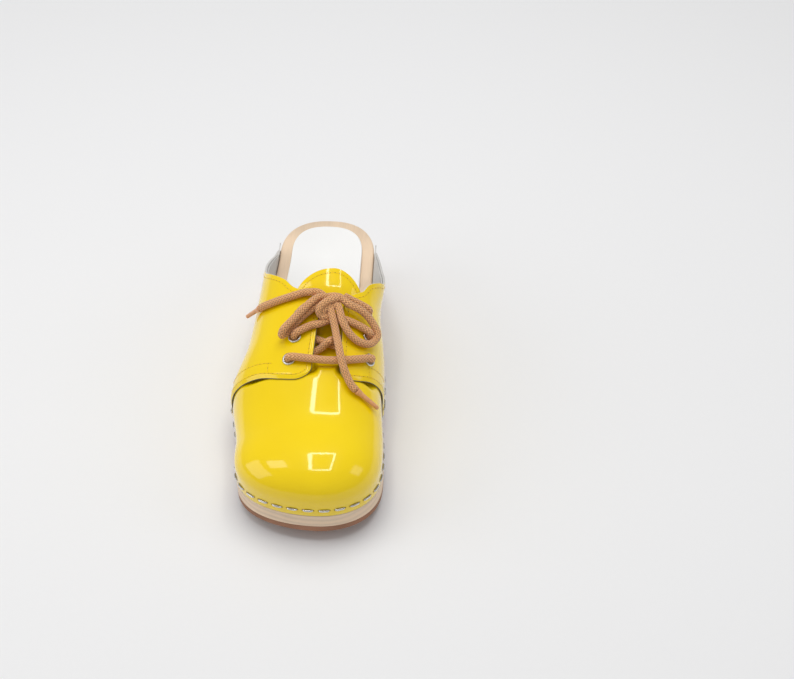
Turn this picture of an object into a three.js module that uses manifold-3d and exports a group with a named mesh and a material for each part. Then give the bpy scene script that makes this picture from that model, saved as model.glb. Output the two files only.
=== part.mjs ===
// Laced wooden clog for the right foot: a wooden sole on rubber treads, and an open-backed leather
// upper that wire staples hold to the side of the wood.
// Millimetres, +Z up. The toe points to -Y, the heel to +Y and the inner side of the foot to +X.

import * as THREE from "three";
import { mergeGeometries, mergeVertices } from "three/addons/utils/BufferGeometryUtils.js";
import Module from "manifold-3d";

const wasm = await Module();
wasm.setup();

// ---------------------------------------------------------------- driving dimensions

// Plan of the sole. Stations are distances back from the toe tip.
const soleLength = 250;
const toeStation = 44;
const ballStation = 90;
const archStation = 120;
const waistStation = 155;
const seatStation = 190;
const heelRadius = 34;
const toeOuter = 46.5;
const toeInner = 48.5;
const ballOuter = 53.5;
const ballInner = 45;
const archOuter = 45;
const archInner = 43.5;
const waistOuter = 39;
const waistInner = 35.5;
const heelOuter = 34;
const heelInner = 34;

// Crest of the upper, to the inner side of the sole's middle as on a foot.
const toeCrest = 9;
const throatCrest = 11;

// Heights
const toeSpring = 11.6;
const springLength = 93;
const treadThickness = 4.6;
const woodShowing = 11;
const leatherTurn = 12;
const archRim = 32.5;
const waistRim = 41;
const seatRim = 49.3;
const heelRim = 51;
const backRim = 53.5;
const toeBoxHeight = 61;
const ballHeight = 73;
const instepHeight = 89.5;
const upperBackHeight = 104;

// Sole
const treadLength = 128;
const heelBreast = 168;
const breastSlope = 8;
const archLift = 15;
const footbedRim = 7.5;
const footbedDish = 3.5;
const insoleThickness = 1.4;

// Upper
const leather = 1.6;
const lining = 0.8;
const fit = 0.3;
const seamStation = 82;
const lapLength = 16;
const throatWidth = 15;
const throatSlant = 3.6;
const throatTop = 131;
const upperEnd = 222;
const outerPeak = [167, 76];
const innerPeak = [163, 73];
const outerShoulder = 87;
const innerShoulder = 84;
const tongueOuterHalf = 29;
const tongueInnerHalf = 23;
const tongueEnd = 154;
const tongueRound = 22;
const tongueSink = 7;

// Fittings
const eyeletPitch = 15;
const eyeletStart = 9;
const eyeletStagger = 7;
const eyeletOuterSetback = 14.8;
const eyeletInnerSetback = 16.8;
const eyeletDraw = 1.5;
const eyeletBore = 5.6;
const eyeletFlange = 8.8;
const eyeletWall = 0.35;
const laceSlack = 0.9;
const laceBend = 2.8;
const lowCrossing = 20.5;
const highCrossing = 34.5;
const knotSize = [15, 12.6, 8.8];
const knotPlace = [8.5, 130, 7.1];
const agletDiameter = 3.4;
const laceDiameter = eyeletBore - laceSlack;
const staplePitch = 10;
const sideStretch = 1.9;
const stapleCrown = 6.4;
const stapleWire = 1.1;
const stapleLeg = 8;
const stapleHeight = 5.6;

// Fineness
const fanSteps = 8;
const stationStep = 9;
const rows = 9;

// ---------------------------------------------------------------- curves

/** A smooth line through points [station, value], level at both ends. */
function smoothLine(points) {
  const last = points.length - 1;
  const slope = points.map((_, i) => {
    if (i === 0 || i === last) return 0;
    return (points[i + 1][1] - points[i - 1][1]) / (points[i + 1][0] - points[i - 1][0]);
  });
  return (s) => {
    if (s <= points[0][0]) return points[0][1];
    if (s >= points[last][0]) return points[last][1];
    const i = points.findIndex((point, n) => n < last && s < points[n + 1][0]);
    const span = points[i + 1][0] - points[i][0];
    const u = (s - points[i][0]) / span;
    const start = points[i][1] * (1 + 2 * u) * (1 - u) ** 2 + slope[i] * span * u * (1 - u) ** 2;
    const end = points[i + 1][1] * u * u * (3 - 2 * u) + slope[i + 1] * span * u * u * (u - 1);
    return start + end;
  };
}

/** 0 before a, 1 after b, smooth between. */
const ramp = (a, b, s) => THREE.MathUtils.smoothstep(s, a, b);

const heelStation = soleLength - heelRadius;
const outerEdge = smoothLine([[toeStation, -toeOuter], [ballStation, -ballOuter], [archStation, -archOuter],
  [waistStation, -waistOuter], [heelStation, -heelOuter]]);
const innerEdge = smoothLine([[toeStation, toeInner], [ballStation, ballInner], [archStation, archInner],
  [waistStation, waistInner], [heelStation, heelInner]]);
const crest = smoothLine([[toeStation, toeCrest], [ballStation, throatCrest], [waistStation, throatCrest],
  [heelStation, 0]]);
const treadLow = (s) => toeSpring * Math.max(0, (springLength - s) / springLength) ** 1.6;
const foreRim = treadThickness + woodShowing + leatherTurn;
const rimBase = smoothLine([[ballStation - 10, foreRim], [archStation, archRim],
  [waistStation - 5, waistRim],
  [seatStation, seatRim], [heelStation, heelRim], [soleLength, backRim]]);
const rimHeight = (s) => rimBase(s) + treadLow(s);
const crestHeight = smoothLine([[toeStation, toeBoxHeight], [ballStation, ballHeight],
  [throatTop + 4, instepHeight], [seatStation - 5, upperBackHeight]]);
const outerSwell = smoothLine([[0, 0], [toeStation, 0.03], [ballStation, 0.02], [archStation, 0.06],
  [waistStation, 0.11], [upperEnd, 0.16]]);
const innerSwell = smoothLine([[0, 0], [toeStation, 0.03], [ballStation, 0.07], [archStation, 0.09],
  [waistStation - 15, 0.22], [waistStation + 10, 0.55], [upperEnd, 0.4]]);

// ---------------------------------------------------------------- the last, as ribs

const toeRound = 1 / 1.3;
const heelRound = 2 / 2.3;
const crownPower = 2 / 2.35;
const risePower = 2 / 2.1;
const turnShare = 0.16;
const aboveRim = 0.19;

/** Where rib t meets the plan of the sole. |t| from 0 to 1 fans round the toe, then 100 mm a unit. */
function ribFoot(t, reach = 1) {
  const side = Math.sign(t) || 1;
  const p = Math.abs(t);
  if (p >= 1) {
    const s = toeStation + (p - 1) * 100;
    const width = side < 0 ? crest(s) - outerEdge(s) : innerEdge(s) - crest(s);
    return { x: crest(s) + side * width * reach, s, foot: s, root: s };
  }
  const angle = p * Math.PI / 2;
  const width = side < 0 ? toeCrest + toeOuter : toeInner - toeCrest;
  const forward = (scale) => toeStation * (1 - (scale * Math.cos(angle)) ** toeRound);
  return { x: toeCrest + side * width * reach * Math.sin(angle), s: forward(reach), foot: forward(1),
    root: toeStation };
}

/** The outside of the vamp: v = 0 at the leather's lower edge, turnShare at the rim, 1 on the crest. */
function lastPoint(t, v) {
  const base = ribFoot(t);
  const rim = rimHeight(base.foot);
  if (v < turnShare) return new THREE.Vector3(base.x, base.s, rim - leatherTurn * (1 - v / turnShare));
  const angle = Math.min(1, (v - turnShare) / (1 - turnShare)) * Math.PI / 2;
  const swell = t < 0 ? outerSwell(base.foot) : innerSwell(base.foot);
  const reach = Math.max(0, Math.cos(angle)) ** crownPower * (1 + swell * Math.sin(2 * angle));
  const point = ribFoot(t, v >= 1 ? 0 : reach);
  const height = rim + (crestHeight(base.root) - rim) * Math.sin(angle) ** risePower;
  return new THREE.Vector3(point.x, point.s, height);
}

/** Outward unit normal of the last at (t, v). */
function lastNormal(t, v) {
  const small = 1e-3;
  if (v >= 1) {
    const s = toeStation + Math.max(0, Math.abs(t) - 1) * 100;
    const slope = (crestHeight(s + small) - crestHeight(s - small)) / (2 * small);
    return new THREE.Vector3(0, -slope, 1).normalize();
  }
  const along = lastPoint(t + small, v).sub(lastPoint(t - small, v));
  const up = lastPoint(t, Math.min(1, v + small)).sub(lastPoint(t, Math.max(0, v - small)));
  const normal = along.cross(up).normalize();
  return normal;
}

/** How far the tongue lies below the last, which leaves the laces their room under the quarters. */
function sink(point, v) {
  const out = Math.abs(point.x - crest(point.y));
  const across = ramp(0.46, 0.62, v);
  const middle = ramp(seamStation + 2, seamStation + 13, point.y);
  const behindSeam = ramp(seamStation - 2, seamStation + 5, point.y);
  const beside = behindSeam * ramp(throatWidth / 2 - 3, throatWidth / 2 + 3, out);
  const recovery = 0.6 * ramp(throatTop - 5, throatTop + 15, point.y);
  return tongueSink * across * Math.max(middle, beside) * (1 - recovery);
}

// ---------------------------------------------------------------- solids

/** A closed BufferGeometry as a manifold solid. */
function toSolid(geometry) {
  const plain = geometry.index ? geometry.toNonIndexed() : geometry.clone();
  plain.deleteAttribute("normal");
  plain.deleteAttribute("uv");
  const merged = mergeVertices(plain, 1e-4);
  const index = merged.index.array;
  const kept = [];
  for (let i = 0; i < index.length; i += 3) {
    const [a, b, c] = [index[i], index[i + 1], index[i + 2]];
    if (a !== b && b !== c && c !== a) kept.push(a, b, c);
  }
  const mesh = new wasm.Mesh({
    numProp: 3,
    vertProperties: new Float32Array(merged.attributes.position.array),
    triVerts: new Uint32Array(kept) });
  return new wasm.Manifold(mesh);
}

/** A manifold solid back as a BufferGeometry. */
function toGeometry(solid) {
  const mesh = solid.getMesh();
  const geometry = new THREE.BufferGeometry();
  geometry.setAttribute("position", new THREE.BufferAttribute(new Float32Array(mesh.vertProperties), 3));
  geometry.setIndex(new THREE.BufferAttribute(new Uint32Array(mesh.triVerts), 1));
  return geometry;
}

/** Triangles between rows of points: grid[i][j] with i along and j across, facing back when flipped. */
function gridGeometry(grid, closeI = false, flipped = false) {
  const positions = [];
  const add = (first, ...others) => {
    const points = flipped ? [first, ...others.reverse()] : [first, ...others];
    for (const point of points) positions.push(point.x, point.y, point.z);
  };
  const count = closeI ? grid.length : grid.length - 1;
  for (let i = 0; i < count; i += 1) {
    const here = grid[i];
    const next = grid[(i + 1) % grid.length];
    for (let j = 0; j + 1 < here.length; j += 1) {
      add(here[j], next[j], next[j + 1]);
      add(here[j], next[j + 1], here[j + 1]);
    }
  }
  const geometry = new THREE.BufferGeometry();
  geometry.setAttribute("position", new THREE.Float32BufferAttribute(positions, 3));
  return geometry;
}

const backRib = 1 + (upperEnd + 2 - toeStation) / 100;
const sideSteps = Math.ceil((upperEnd + 2 - toeStation) / stationStep);

/** Rib parameters from the outer back corner round the toe to the inner back corner. */
function ribList() {
  const half = [];
  for (let i = 1; i <= fanSteps; i += 1) half.push(i / fanSteps);
  for (let i = 1; i <= sideSteps; i += 1) half.push(1 + (backRib - 1) * i / sideSteps);
  return [...half.map((t) => -t).reverse(), 0, ...half];
}

/** The whole upper as one skin from inside offset to outside offset, before it is cut to shape. */
function upperSkin(inside, outside, lowRow = 0, sinks = false) {
  const levels = [0, turnShare];
  for (let j = 0; j <= rows; j += 1) levels.push(THREE.MathUtils.lerp(aboveRim, 1, j / rows));
  levels.splice(0, lowRow);
  const place = (t, v, offset) => {
    const point = lastPoint(t, v);
    const drop = sinks ? sink(point, v) : 0;
    return point.addScaledVector(lastNormal(t, v), offset - drop);
  };
  const ribs = ribList();
  const outer = ribs.map((t) => levels.map((v) => place(t, v, outside)));
  const inner = ribs.map((t) => levels.map((v) => place(t, v, inside)));
  const last = ribs.length - 1;
  const edges = [
    ribs.map((_, i) => [inner[i][0], outer[i][0]]),
    levels.map((_, j) => [outer[0][j], inner[0][j]]),
    levels.map((_, j) => [inner[last][j], outer[last][j]]),
  ];
  const rims = edges.map((grid) => gridGeometry(grid));
  const faces = [gridGeometry(outer), gridGeometry(inner, false, true), ...rims];
  return toSolid(mergeGeometries(faces));
}

/** An upright cutter over a plan shape drawn in (x, station). */
function planCutter(shape, low = -20, high = 160) {
  const settings = { depth: high - low, bevelEnabled: false, curveSegments: 10 };
  const geometry = new THREE.ExtrudeGeometry(shape, settings);
  geometry.translate(0, 0, low);
  return toSolid(geometry);
}

/** A cutter across the clog over a side shape drawn in (station, z). */
function sideCutter(shape) {
  const width = 200;
  const settings = { depth: width, bevelEnabled: false, curveSegments: 10 };
  const geometry = new THREE.ExtrudeGeometry(shape, settings);
  const turn = new THREE.Matrix4().set(0, 0, 1, -width / 2, 1, 0, 0, 0, 0, 1, 0, 0, 0, 0, 0, 1);
  geometry.applyMatrix4(turn);
  return toSolid(geometry);
}

/** A plan or side shape from corner points and smooth runs. */
function outline(...runs) {
  const shape = new THREE.Shape();
  shape.moveTo(...runs[0]);
  for (const run of runs.slice(1)) {
    if (Array.isArray(run[0])) shape.splineThru(run.map(([a, b]) => new THREE.Vector2(a, b)));
    else shape.lineTo(...run);
  }
  shape.closePath();
  return shape;
}

// ---------------------------------------------------------------- wooden sole and rubber

/** Points round the plan of the sole, toe first, each with its centre and its inward direction. */
function soleRibs() {
  const ribs = [];
  for (let i = -fanSteps; i <= fanSteps; i += 1) {
    const base = ribFoot(i / fanSteps);
    ribs.push({ x: base.x, s: base.s, centreX: toeCrest, centreS: toeStation });
  }
  const behindToe = ribList().filter((t) => t > 1).map((t) => ribFoot(t).s);
  const stations = behindToe.filter((s) => s < heelStation - 2);
  for (const s of stations) ribs.push({ x: innerEdge(s), s, centreX: crest(s), centreS: s });
  const heelSteps = 12;
  for (let i = 0; i <= heelSteps; i += 1) {
    const angle = Math.PI * i / heelSteps;
    const across = Math.sign(Math.cos(angle)) * Math.abs(Math.cos(angle)) ** heelRound;
    const s = heelStation + heelRadius * Math.sin(angle) ** heelRound;
    ribs.push({ x: (across > 0 ? heelInner : heelOuter) * across, s, centreX: 0, centreS: heelStation });
  }
  for (const s of stations.reverse()) ribs.push({ x: outerEdge(s), s, centreX: crest(s), centreS: s });
  ribs.forEach((rib, i) => {
    const before = ribs[(i + ribs.length - 1) % ribs.length];
    const after = ribs[(i + 1) % ribs.length];
    const length = Math.hypot(after.x - before.x, after.s - before.s);
    rib.inX = -(after.s - before.s) / length;
    rib.inS = (after.x - before.x) / length;
  });
  return ribs;
}

/** The plan point of a rib moved in from the edge by a depth. */
const inset = (rib, depth) => ({ x: rib.x + rib.inX * depth, s: rib.s + rib.inS * depth });

/** A closed solid made of rings round the sole plan, from the bottom centre up to the top centre. */
function ringSolid(ringPoints) {
  const ribs = soleRibs();
  return toSolid(gridGeometry(ribs.map((rib) => ringPoints(rib)), true));
}

const lapEnd = seamStation + lapLength;
const rabbetDepth = (s) => (leather + fit) * (1 - ramp(lapEnd, lapEnd + 4, s));

/** Height of the footbed on a rib at a share of the way in from the inner line of the rim. */
function bedHeight(rib, share) {
  const own = rimHeight(rib.s);
  const centre = rimHeight(rib.centreS);
  return THREE.MathUtils.lerp(own, centre, share) - footbedDish * Math.sin(share * Math.PI / 2);
}

const bedShares = [0, 0.3, 0.65, 1];

function bedPoint(rib, share, lift, margin = 0) {
  const start = inset(rib, footbedRim + margin);
  const x = THREE.MathUtils.lerp(start.x, rib.centreX, share);
  const s = THREE.MathUtils.lerp(start.s, rib.centreS, share);
  return new THREE.Vector3(x, s, bedHeight(rib, share) + lift);
}

function soleBody() {
  return ringSolid((rib) => {
    const rim = rimHeight(rib.s);
    const step = inset(rib, rabbetDepth(rib.s));
    const down = -20;
    return [
      new THREE.Vector3(rib.centreX, rib.centreS, down),
      new THREE.Vector3(rib.x, rib.s, down),
      new THREE.Vector3(rib.x, rib.s, rim - leatherTurn - fit),
      new THREE.Vector3(step.x, step.s, rim - leatherTurn - fit),
      new THREE.Vector3(step.x, step.s, rim),
      ...bedShares.map((share) => bedPoint(rib, share, 0)),
    ];
  });
}

function soleColumn() {
  return ringSolid((rib) => [
    new THREE.Vector3(rib.centreX, rib.centreS, -10),
    new THREE.Vector3(rib.x, rib.s, -10),
    new THREE.Vector3(rib.x, rib.s, 60),
    new THREE.Vector3(rib.centreX, rib.centreS, 60),
  ]);
}

/** The rising line of the tread's underside from the flat to the toe, as [station, z] points. */
function springPoints(lift) {
  const count = 8;
  const points = [];
  for (let i = 1; i <= count; i += 1) {
    const s = springLength * (1 - i / count) - (i === count ? 5 : 0);
    points.push([s, treadLow(Math.max(0, s)) + lift]);
  }
  return points;
}

function undersideShape() {
  const low = treadThickness + fit;
  return outline([soleLength + 20, -30], [soleLength + 20, low], [heelBreast, low],
    [[heelBreast - breastSlope, low + archLift * 0.7], [heelBreast - breastSlope - 14, low + archLift],
      [treadLength + 6, low + archLift * 0.25], [treadLength - 6, low]],
    [springLength, low], ...springPoints(low), [-5, -30]);
}

function foreTread() {
  const strip = outline([treadLength, 0], [treadLength, treadThickness], [springLength, treadThickness],
    ...springPoints(treadThickness), ...springPoints(0).reverse(), [springLength, 0]);
  return soleColumn().intersect(sideCutter(strip));
}

function heelTread() {
  const slab = outline([heelBreast, 0], [soleLength + 20, 0], [soleLength + 20, treadThickness],
    [heelBreast, treadThickness]);
  return soleColumn().intersect(sideCutter(slab));
}

function insoleSock() {
  const margin = 1.5;
  const seat = fit + 0.1;
  return ringSolid((rib) => {
    const low = bedShares.map((share) => bedPoint(rib, share, seat, margin)).reverse();
    const high = bedShares.map((share) => bedPoint(rib, share, seat + insoleThickness, margin));
    return [...low, ...high];
  });
}

// ---------------------------------------------------------------- leather upper

const throatMiddle = throatCrest + 0.5;
const slant = (s) => throatSlant * (throatTop - s) / (throatTop - seamStation);
const outerThroat = (s) => throatMiddle - throatWidth / 2 - slant(s);
const innerThroat = () => throatMiddle + throatWidth / 2;
const far = 90;

function outerQuarterPlan() {
  const top = throatTop;
  return outline([-far, seamStation + 5], [-ballOuter, seamStation + 4],
    [[-33, seamStation + 0.5], [-19, seamStation - 3], [-7, seamStation - 4],
      [outerThroat(seamStation) - 0.5, seamStation], [outerThroat(seamStation + 8), seamStation + 8]],
    [outerThroat(top - 8), top - 8],
    [[outerThroat(top) - 2, top - 1], [-4, top + 4], [-15, top + 11], [-26, top + 19]],
    [-26, 240], [-far, 240]);
}

function innerQuarterPlan() {
  const top = throatTop;
  return outline([far, seamStation + 12], [ballInner + 2, seamStation + 10],
    [[38, seamStation + 2], [30, seamStation - 2], [innerThroat(seamStation) + 3, seamStation - 3],
      [innerThroat(seamStation), seamStation + 5]],
    [innerThroat(top - 8), top - 8],
    [[innerThroat(top) + 1, top], [24, top + 5], [30, top + 11]],
    [30, 240], [far, 240]);
}

/** Everything of a quarter below its top line, seen from the side. At its peak the line turns down. */
function topLineShape([peakStation, peakHeight], shoulderHeight) {
  const start = throatTop + 8;
  const back = rimHeight(upperEnd);
  return outline([-20, -20], [-20, 140], [start, 140], [start, 95],
    [[start + 4, shoulderHeight + 3], [start + 10, shoulderHeight],
      [(start + peakStation) / 2 + 6, shoulderHeight - 5],
      [peakStation, peakHeight], [peakStation + 20, peakHeight - 9], [upperEnd - 16, back + 6],
      [upperEnd - 3, back - 1], [upperEnd, back - leatherTurn]],
    [upperEnd, -20]);
}

function vampPlan() {
  const end = seamStation + lapLength;
  const middle = crest(end);
  const shape = new THREE.Shape();
  shape.moveTo(-far, -20);
  shape.lineTo(far, -20);
  shape.lineTo(far, end);
  shape.lineTo(middle + tongueInnerHalf, end);
  const centre = tongueEnd - tongueRound;
  shape.lineTo(middle + tongueInnerHalf, centre);
  shape.absellipse(middle, centre, tongueInnerHalf, tongueRound, 0, Math.PI / 2, false);
  shape.absellipse(middle, centre, tongueOuterHalf, tongueRound, Math.PI / 2, Math.PI, false);
  shape.lineTo(middle - tongueOuterHalf, end);
  shape.lineTo(-far, end);
  shape.closePath();
  return shape;
}

// ---------------------------------------------------------------- fittings

/** A frame on the surface of the last: position, outward normal and a direction along it. */
function frameOn(t, v, offset) {
  const normal = lastNormal(t, v);
  const small = 1e-3;
  const along = lastPoint(t + small, v).sub(lastPoint(t - small, v)).normalize();
  along.addScaledVector(normal, -along.dot(normal)).normalize();
  const across = normal.clone().cross(along);
  const position = lastPoint(t, v).addScaledVector(normal, offset);
  const basis = new THREE.Matrix4().makeBasis(along, across, normal);
  return basis.setPosition(position);
}

/** The v on rib t whose plan point is at x. */
function rowAt(t, x) {
  let low = turnShare;
  let high = 1;
  for (let i = 0; i < 40; i += 1) {
    const middle = (low + high) / 2;
    const inside = Math.abs(lastPoint(t, middle).x - crest(toeStation + (Math.abs(t) - 1) * 100))
      < Math.abs(x - crest(toeStation + (Math.abs(t) - 1) * 100));
    if (inside) high = middle;
    else low = middle;
  }
  return (low + high) / 2;
}

/** The point a lift above the last over plan position (x, station). */
function above(x, s, lift) {
  const side = x < crest(s) ? -1 : 1;
  const t = side * (1 + (s - toeStation) / 100);
  const v = rowAt(t, x);
  return lastPoint(t, v).addScaledVector(lastNormal(t, v), lift);
}

/** Frames of the eyelets: three in each quarter, those of the inner quarter a little further back. */
function eyeletFrames() {
  const frames = [];
  const sides = [["outer", -1, outerThroat, 0, eyeletOuterSetback],
    ["inner", 1, innerThroat, eyeletStagger, eyeletInnerSetback]];
  for (const [name, sign, edge, back, setback] of sides) {
    for (let row = 0; row < 3; row += 1) {
      const s = seamStation + eyeletStart + eyeletPitch * row + back;
      const t = sign * (1 + (s - toeStation) / 100);
      const x = edge(s) + sign * (setback - eyeletDraw * row);
      frames.push({ name: `eyelet_${name}_${row + 1}`, frame: frameOn(t, rowAt(t, x), fit + leather) });
    }
  }
  return frames;
}

/** A rolled eyelet, its axis along Z, its flange just above z = 0. */
function eyeletGeometry() {
  const bore = eyeletBore / 2;
  const flange = eyeletFlange / 2;
  const tail = -(leather + fit + lining) - 0.1;
  const profile = [[bore, 0.7], [bore + 0.8, 1.05], [flange - 0.4, 0.75], [flange, 0.25],
    [bore + eyeletWall, 0.25], [bore + eyeletWall, tail], [bore + 0.9, tail - 0.05],
    [bore + 0.7, tail - 0.35],
    [bore, tail - 0.25]];
  const points = [...profile, profile[0]].map(([r, z]) => new THREE.Vector2(r, z));
  const geometry = new THREE.LatheGeometry(points.reverse(), 16);
  geometry.rotateX(Math.PI / 2);
  return geometry;
}

/** The hole that an eyelet sits in. */
function eyeletHole(frame) {
  const radius = eyeletBore / 2 + eyeletWall + 1.8 * fit;
  const geometry = new THREE.CylinderGeometry(radius, radius, 8, 16);
  geometry.rotateX(Math.PI / 2);
  geometry.applyMatrix4(frame);
  return toSolid(geometry);
}

/** A staple: its crown lies above z = 0 along X, its two legs go down. */
function stapleGeometry() {
  const half = stapleCrown / 2;
  const inner = half - stapleWire;
  const shape = outline([-half, stapleWire + fit], [-half, -stapleLeg], [-inner, -stapleLeg], [-inner, fit],
    [inner, fit], [inner, -stapleLeg], [half, -stapleLeg], [half, stapleWire + fit]);
  const geometry = new THREE.ExtrudeGeometry(shape, { depth: stapleWire, bevelEnabled: false });
  geometry.translate(0, 0, -stapleWire / 2);
  geometry.rotateX(Math.PI / 2);
  return geometry;
}

/** The two holes that a staple's legs go into. */
function stapleHoles(frame) {
  const wide = stapleWire + 2 * fit;
  const deep = stapleLeg + fit + 2;
  return [-1, 1].map((side) => {
    const geometry = new THREE.BoxGeometry(wide, wide, deep);
    geometry.translate(side * (stapleCrown - stapleWire) / 2, 0, 2 - deep / 2);
    geometry.applyMatrix4(frame);
    return toSolid(geometry);
  });
}

/** Rib parameters a staple pitch apart round the upper's lower edge, from the toe back on one side. */
function stapleRibs(sign) {
  const ribs = [];
  const small = 0.002;
  let travelled = -staplePitch / 2;
  const end = 1 + (upperEnd - stapleCrown - toeStation) / 100;
  for (let t = small; t < end; t += small) {
    const here = ribFoot(sign * t);
    const before = ribFoot(sign * (t - small));
    travelled += Math.hypot(here.x - before.x, here.s - before.s);
    if (travelled >= 0) {
      ribs.push(sign * t);
      travelled -= here.s < toeStation ? staplePitch : staplePitch * sideStretch;
    }
  }
  return ribs;
}

/** Where a quarter's front edge crosses the staple row. */
const quarterFront = (sign) => (sign < 0 ? seamStation + 4.5 : seamStation + 10.5);

/** Frames of the staples, from the outer heel end round the toe. None sits across a quarter's edge. */
function stapleFrames() {
  const ribs = [...stapleRibs(-1).reverse(), ...stapleRibs(1)];
  const row = turnShare * stapleHeight / leatherTurn;
  return ribs.map((t, i) => {
    const station = ribFoot(t).s;
    const front = quarterFront(Math.sign(t));
    const clear = stapleCrown / 2 + 1;
    const onQuarter = station > front - clear;
    const placed = onQuarter ? Math.max(station, front + clear) : station;
    const rib = onQuarter ? Math.sign(t) * (1 + (placed - toeStation) / 100) : t;
    const name = `staple_${String(i + 1).padStart(2, "0")}`;
    return { name, frame: frameOn(rib, row, onQuarter ? fit + leather : 0) };
  });
}

// ---------------------------------------------------------------- lace

const laceSides = 8;
const onQuarter = fit + leather + fit + laceDiameter / 2;
const underQuarter = -(lining + fit + laceDiameter / 2);

/** A closed tube along points, with its sides flat. */
function tube(points, diameter, steps, sides = laceSides) {
  const section = new THREE.Shape();
  for (let i = 0; i < sides; i += 1) {
    const angle = 2 * Math.PI * i / sides;
    section[i ? "lineTo" : "moveTo"](Math.cos(angle) * diameter / 2, Math.sin(angle) * diameter / 2);
  }
  const path = new THREE.CatmullRomCurve3(points, false, "centripetal");
  path.arcLengthDivisions = 40 * points.length;
  const settings = { steps, extrudePath: path, bevelEnabled: false, curveSegments: 1 };
  return new THREE.ExtrudeGeometry(section, settings);
}

/** Points of a lace through an eyelet from its face to its back, turning from and towards plan points. */
function through(frame, from, to) {
  const inverse = frame.clone().invert();
  const heading = (target) => {
    const local = target.clone().applyMatrix4(inverse);
    return new THREE.Vector2(local.x, local.y).normalize();
  };
  const turn = (direction, start, side) => [1, 0.5, 0.15, 0].map((share) => {
    const angle = share * Math.PI / 2;
    const out = laceBend * (1 - Math.cos(angle));
    const rise = start + side * laceBend * Math.sin(angle);
    return new THREE.Vector3(direction.x * out, direction.y * out, rise).applyMatrix4(frame);
  });
  const face = 1.2;
  const back = -(leather + fit + lining) - 0.6;
  return [...turn(heading(from), face, 1), ...turn(heading(to), back, -1).reverse()];
}

/** The held stretch of the lace, from one side of the knot through all six eyelets to the other side. */
function laceRoute() {
  const frameOf = Object.fromEntries(eyeletFrames().map(({ name, frame }) => [name.slice(7), frame]));
  const middle = throatMiddle;
  const edge = throatWidth / 2 + 1.5;
  const left = middle - edge;
  const right = middle + edge;
  const low = seamStation + lowCrossing;
  const high = seamStation + highCrossing;
  const under = underQuarter;
  const over = underQuarter + laceDiameter + 2 * fit;
  const knotOuter = above(-0.6, 126.4, 6.5);
  const knotInner = above(18.6, 131, 6);
  const line = (...points) => points.map(([x, s, lift]) => above(x, s, lift));
  const outerDive = line([-1, high - 5, onQuarter], [left + 2.5, high - 3.5, onQuarter - 0.3],
    [middle, high - 0.5, 3.4], [right - 3.5, high + 1.5, under + 1.3],
    [right - 1, high + 2.3, under - 0.2], [right + 4, high + 4, under]);
  const innerDive = line([26, high - 1.2, onQuarter], [right - 2.5, high, onQuarter - 0.3],
    [middle, high + 1, -1.9], [left + 0.5, high + 2, under]);
  const lowUnder = line([left - 4, low + 4, under], [left, low + 3, under],
    [middle, low, under - 0.1], [right, low - 2, under]);
  const lowOver = line([left - 4, low - 6.5, under], [left, low - 4.5, under - 0.1],
    [left + 3.5, low - 3, under + 1], [middle, low, over],
    [right - 3.5, low + 3, under + 1], [right, low + 4.5, under - 0.1]);
  const bar = line([left - 3, 89.2, onQuarter + 0.4], [middle, 88.4, onQuarter - 0.4],
    [right + 3, 90.2, onQuarter + 0.4]);
  const before = (list) => list[0];
  const after = (list) => list[list.length - 1];
  return [
    knotOuter,
    ...through(frameOf.outer_3, knotOuter, after(innerDive)),
    ...innerDive.slice().reverse(),
    ...through(frameOf.inner_2, before(innerDive), after(lowOver)),
    ...lowOver.slice().reverse(),
    ...through(frameOf.outer_1, before(bar), before(lowOver)).reverse(),
    ...bar,
    ...through(frameOf.inner_1, after(bar), after(lowUnder)),
    ...lowUnder.slice().reverse(),
    ...through(frameOf.outer_2, before(outerDive), before(lowUnder)).reverse(),
    ...outerDive,
    ...through(frameOf.inner_3, knotInner, after(outerDive)).reverse(),
    knotInner,
  ];
}

/** Routes of the free lace, as points (x, station, z). */
const outerTail = [[-0.2, 131.2, 94.5], [-6.3, 132.2, 92.8], [-12, 132, 90.7], [-17.7, 131.7, 88.3],
  [-24, 131.7, 85.3], [-30.2, 132, 81.7], [-34.5, 133, 78.3], [-37.2, 134, 75.4]];
const outerAglet = [[-37.4, 134.1, 75.1], [-42.6, 136.4, 68.6], [-48, 139, 61.6]];
const innerTail = [[10.2, 121, 94.1], [12.6, 114, 90.6], [14.8, 107, 86.7], [16.6, 99.6, 84.1],
  [18.2, 93, 83.3], [19.6, 87, 81.6], [21.6, 81.6, 77.6], [24.2, 77, 73], [27.3, 73, 68.9],
  [30.2, 71.2, 66.5]];
const innerAglet = [[30.5, 71.05, 66.2], [37.4, 68.7, 60.6], [44.4, 66.5, 54.4]];
const outerLoop = [[3.5, 121.5, 92.5], [-1.5, 118.6, 90.5], [-7, 115, 87.7], [-12, 110.6, 83.9],
  [-16.6, 106.6, 81.1], [-19.6, 103.6, 81.4], [-18.4, 104, 86.1], [-14, 107.8, 89.4], [-8.5, 113, 92.5],
  [-3, 118.4, 95.4], [1.2, 122.6, 96.4]];
const innerLoop = [[16.9, 125.8, 95.6], [23.6, 121.6, 93.3], [31.5, 120.4, 88.8], [38.4, 117.6, 81],
  [42, 112.6, 74.8], [38.6, 106.4, 73.4], [31.6, 102.8, 77.4], [24.6, 104.6, 83.2], [19.6, 110.4, 88.9],
  [17.4, 116.6, 92.3], [15.8, 120.6, 94]];

// ---------------------------------------------------------------- assembly

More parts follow.
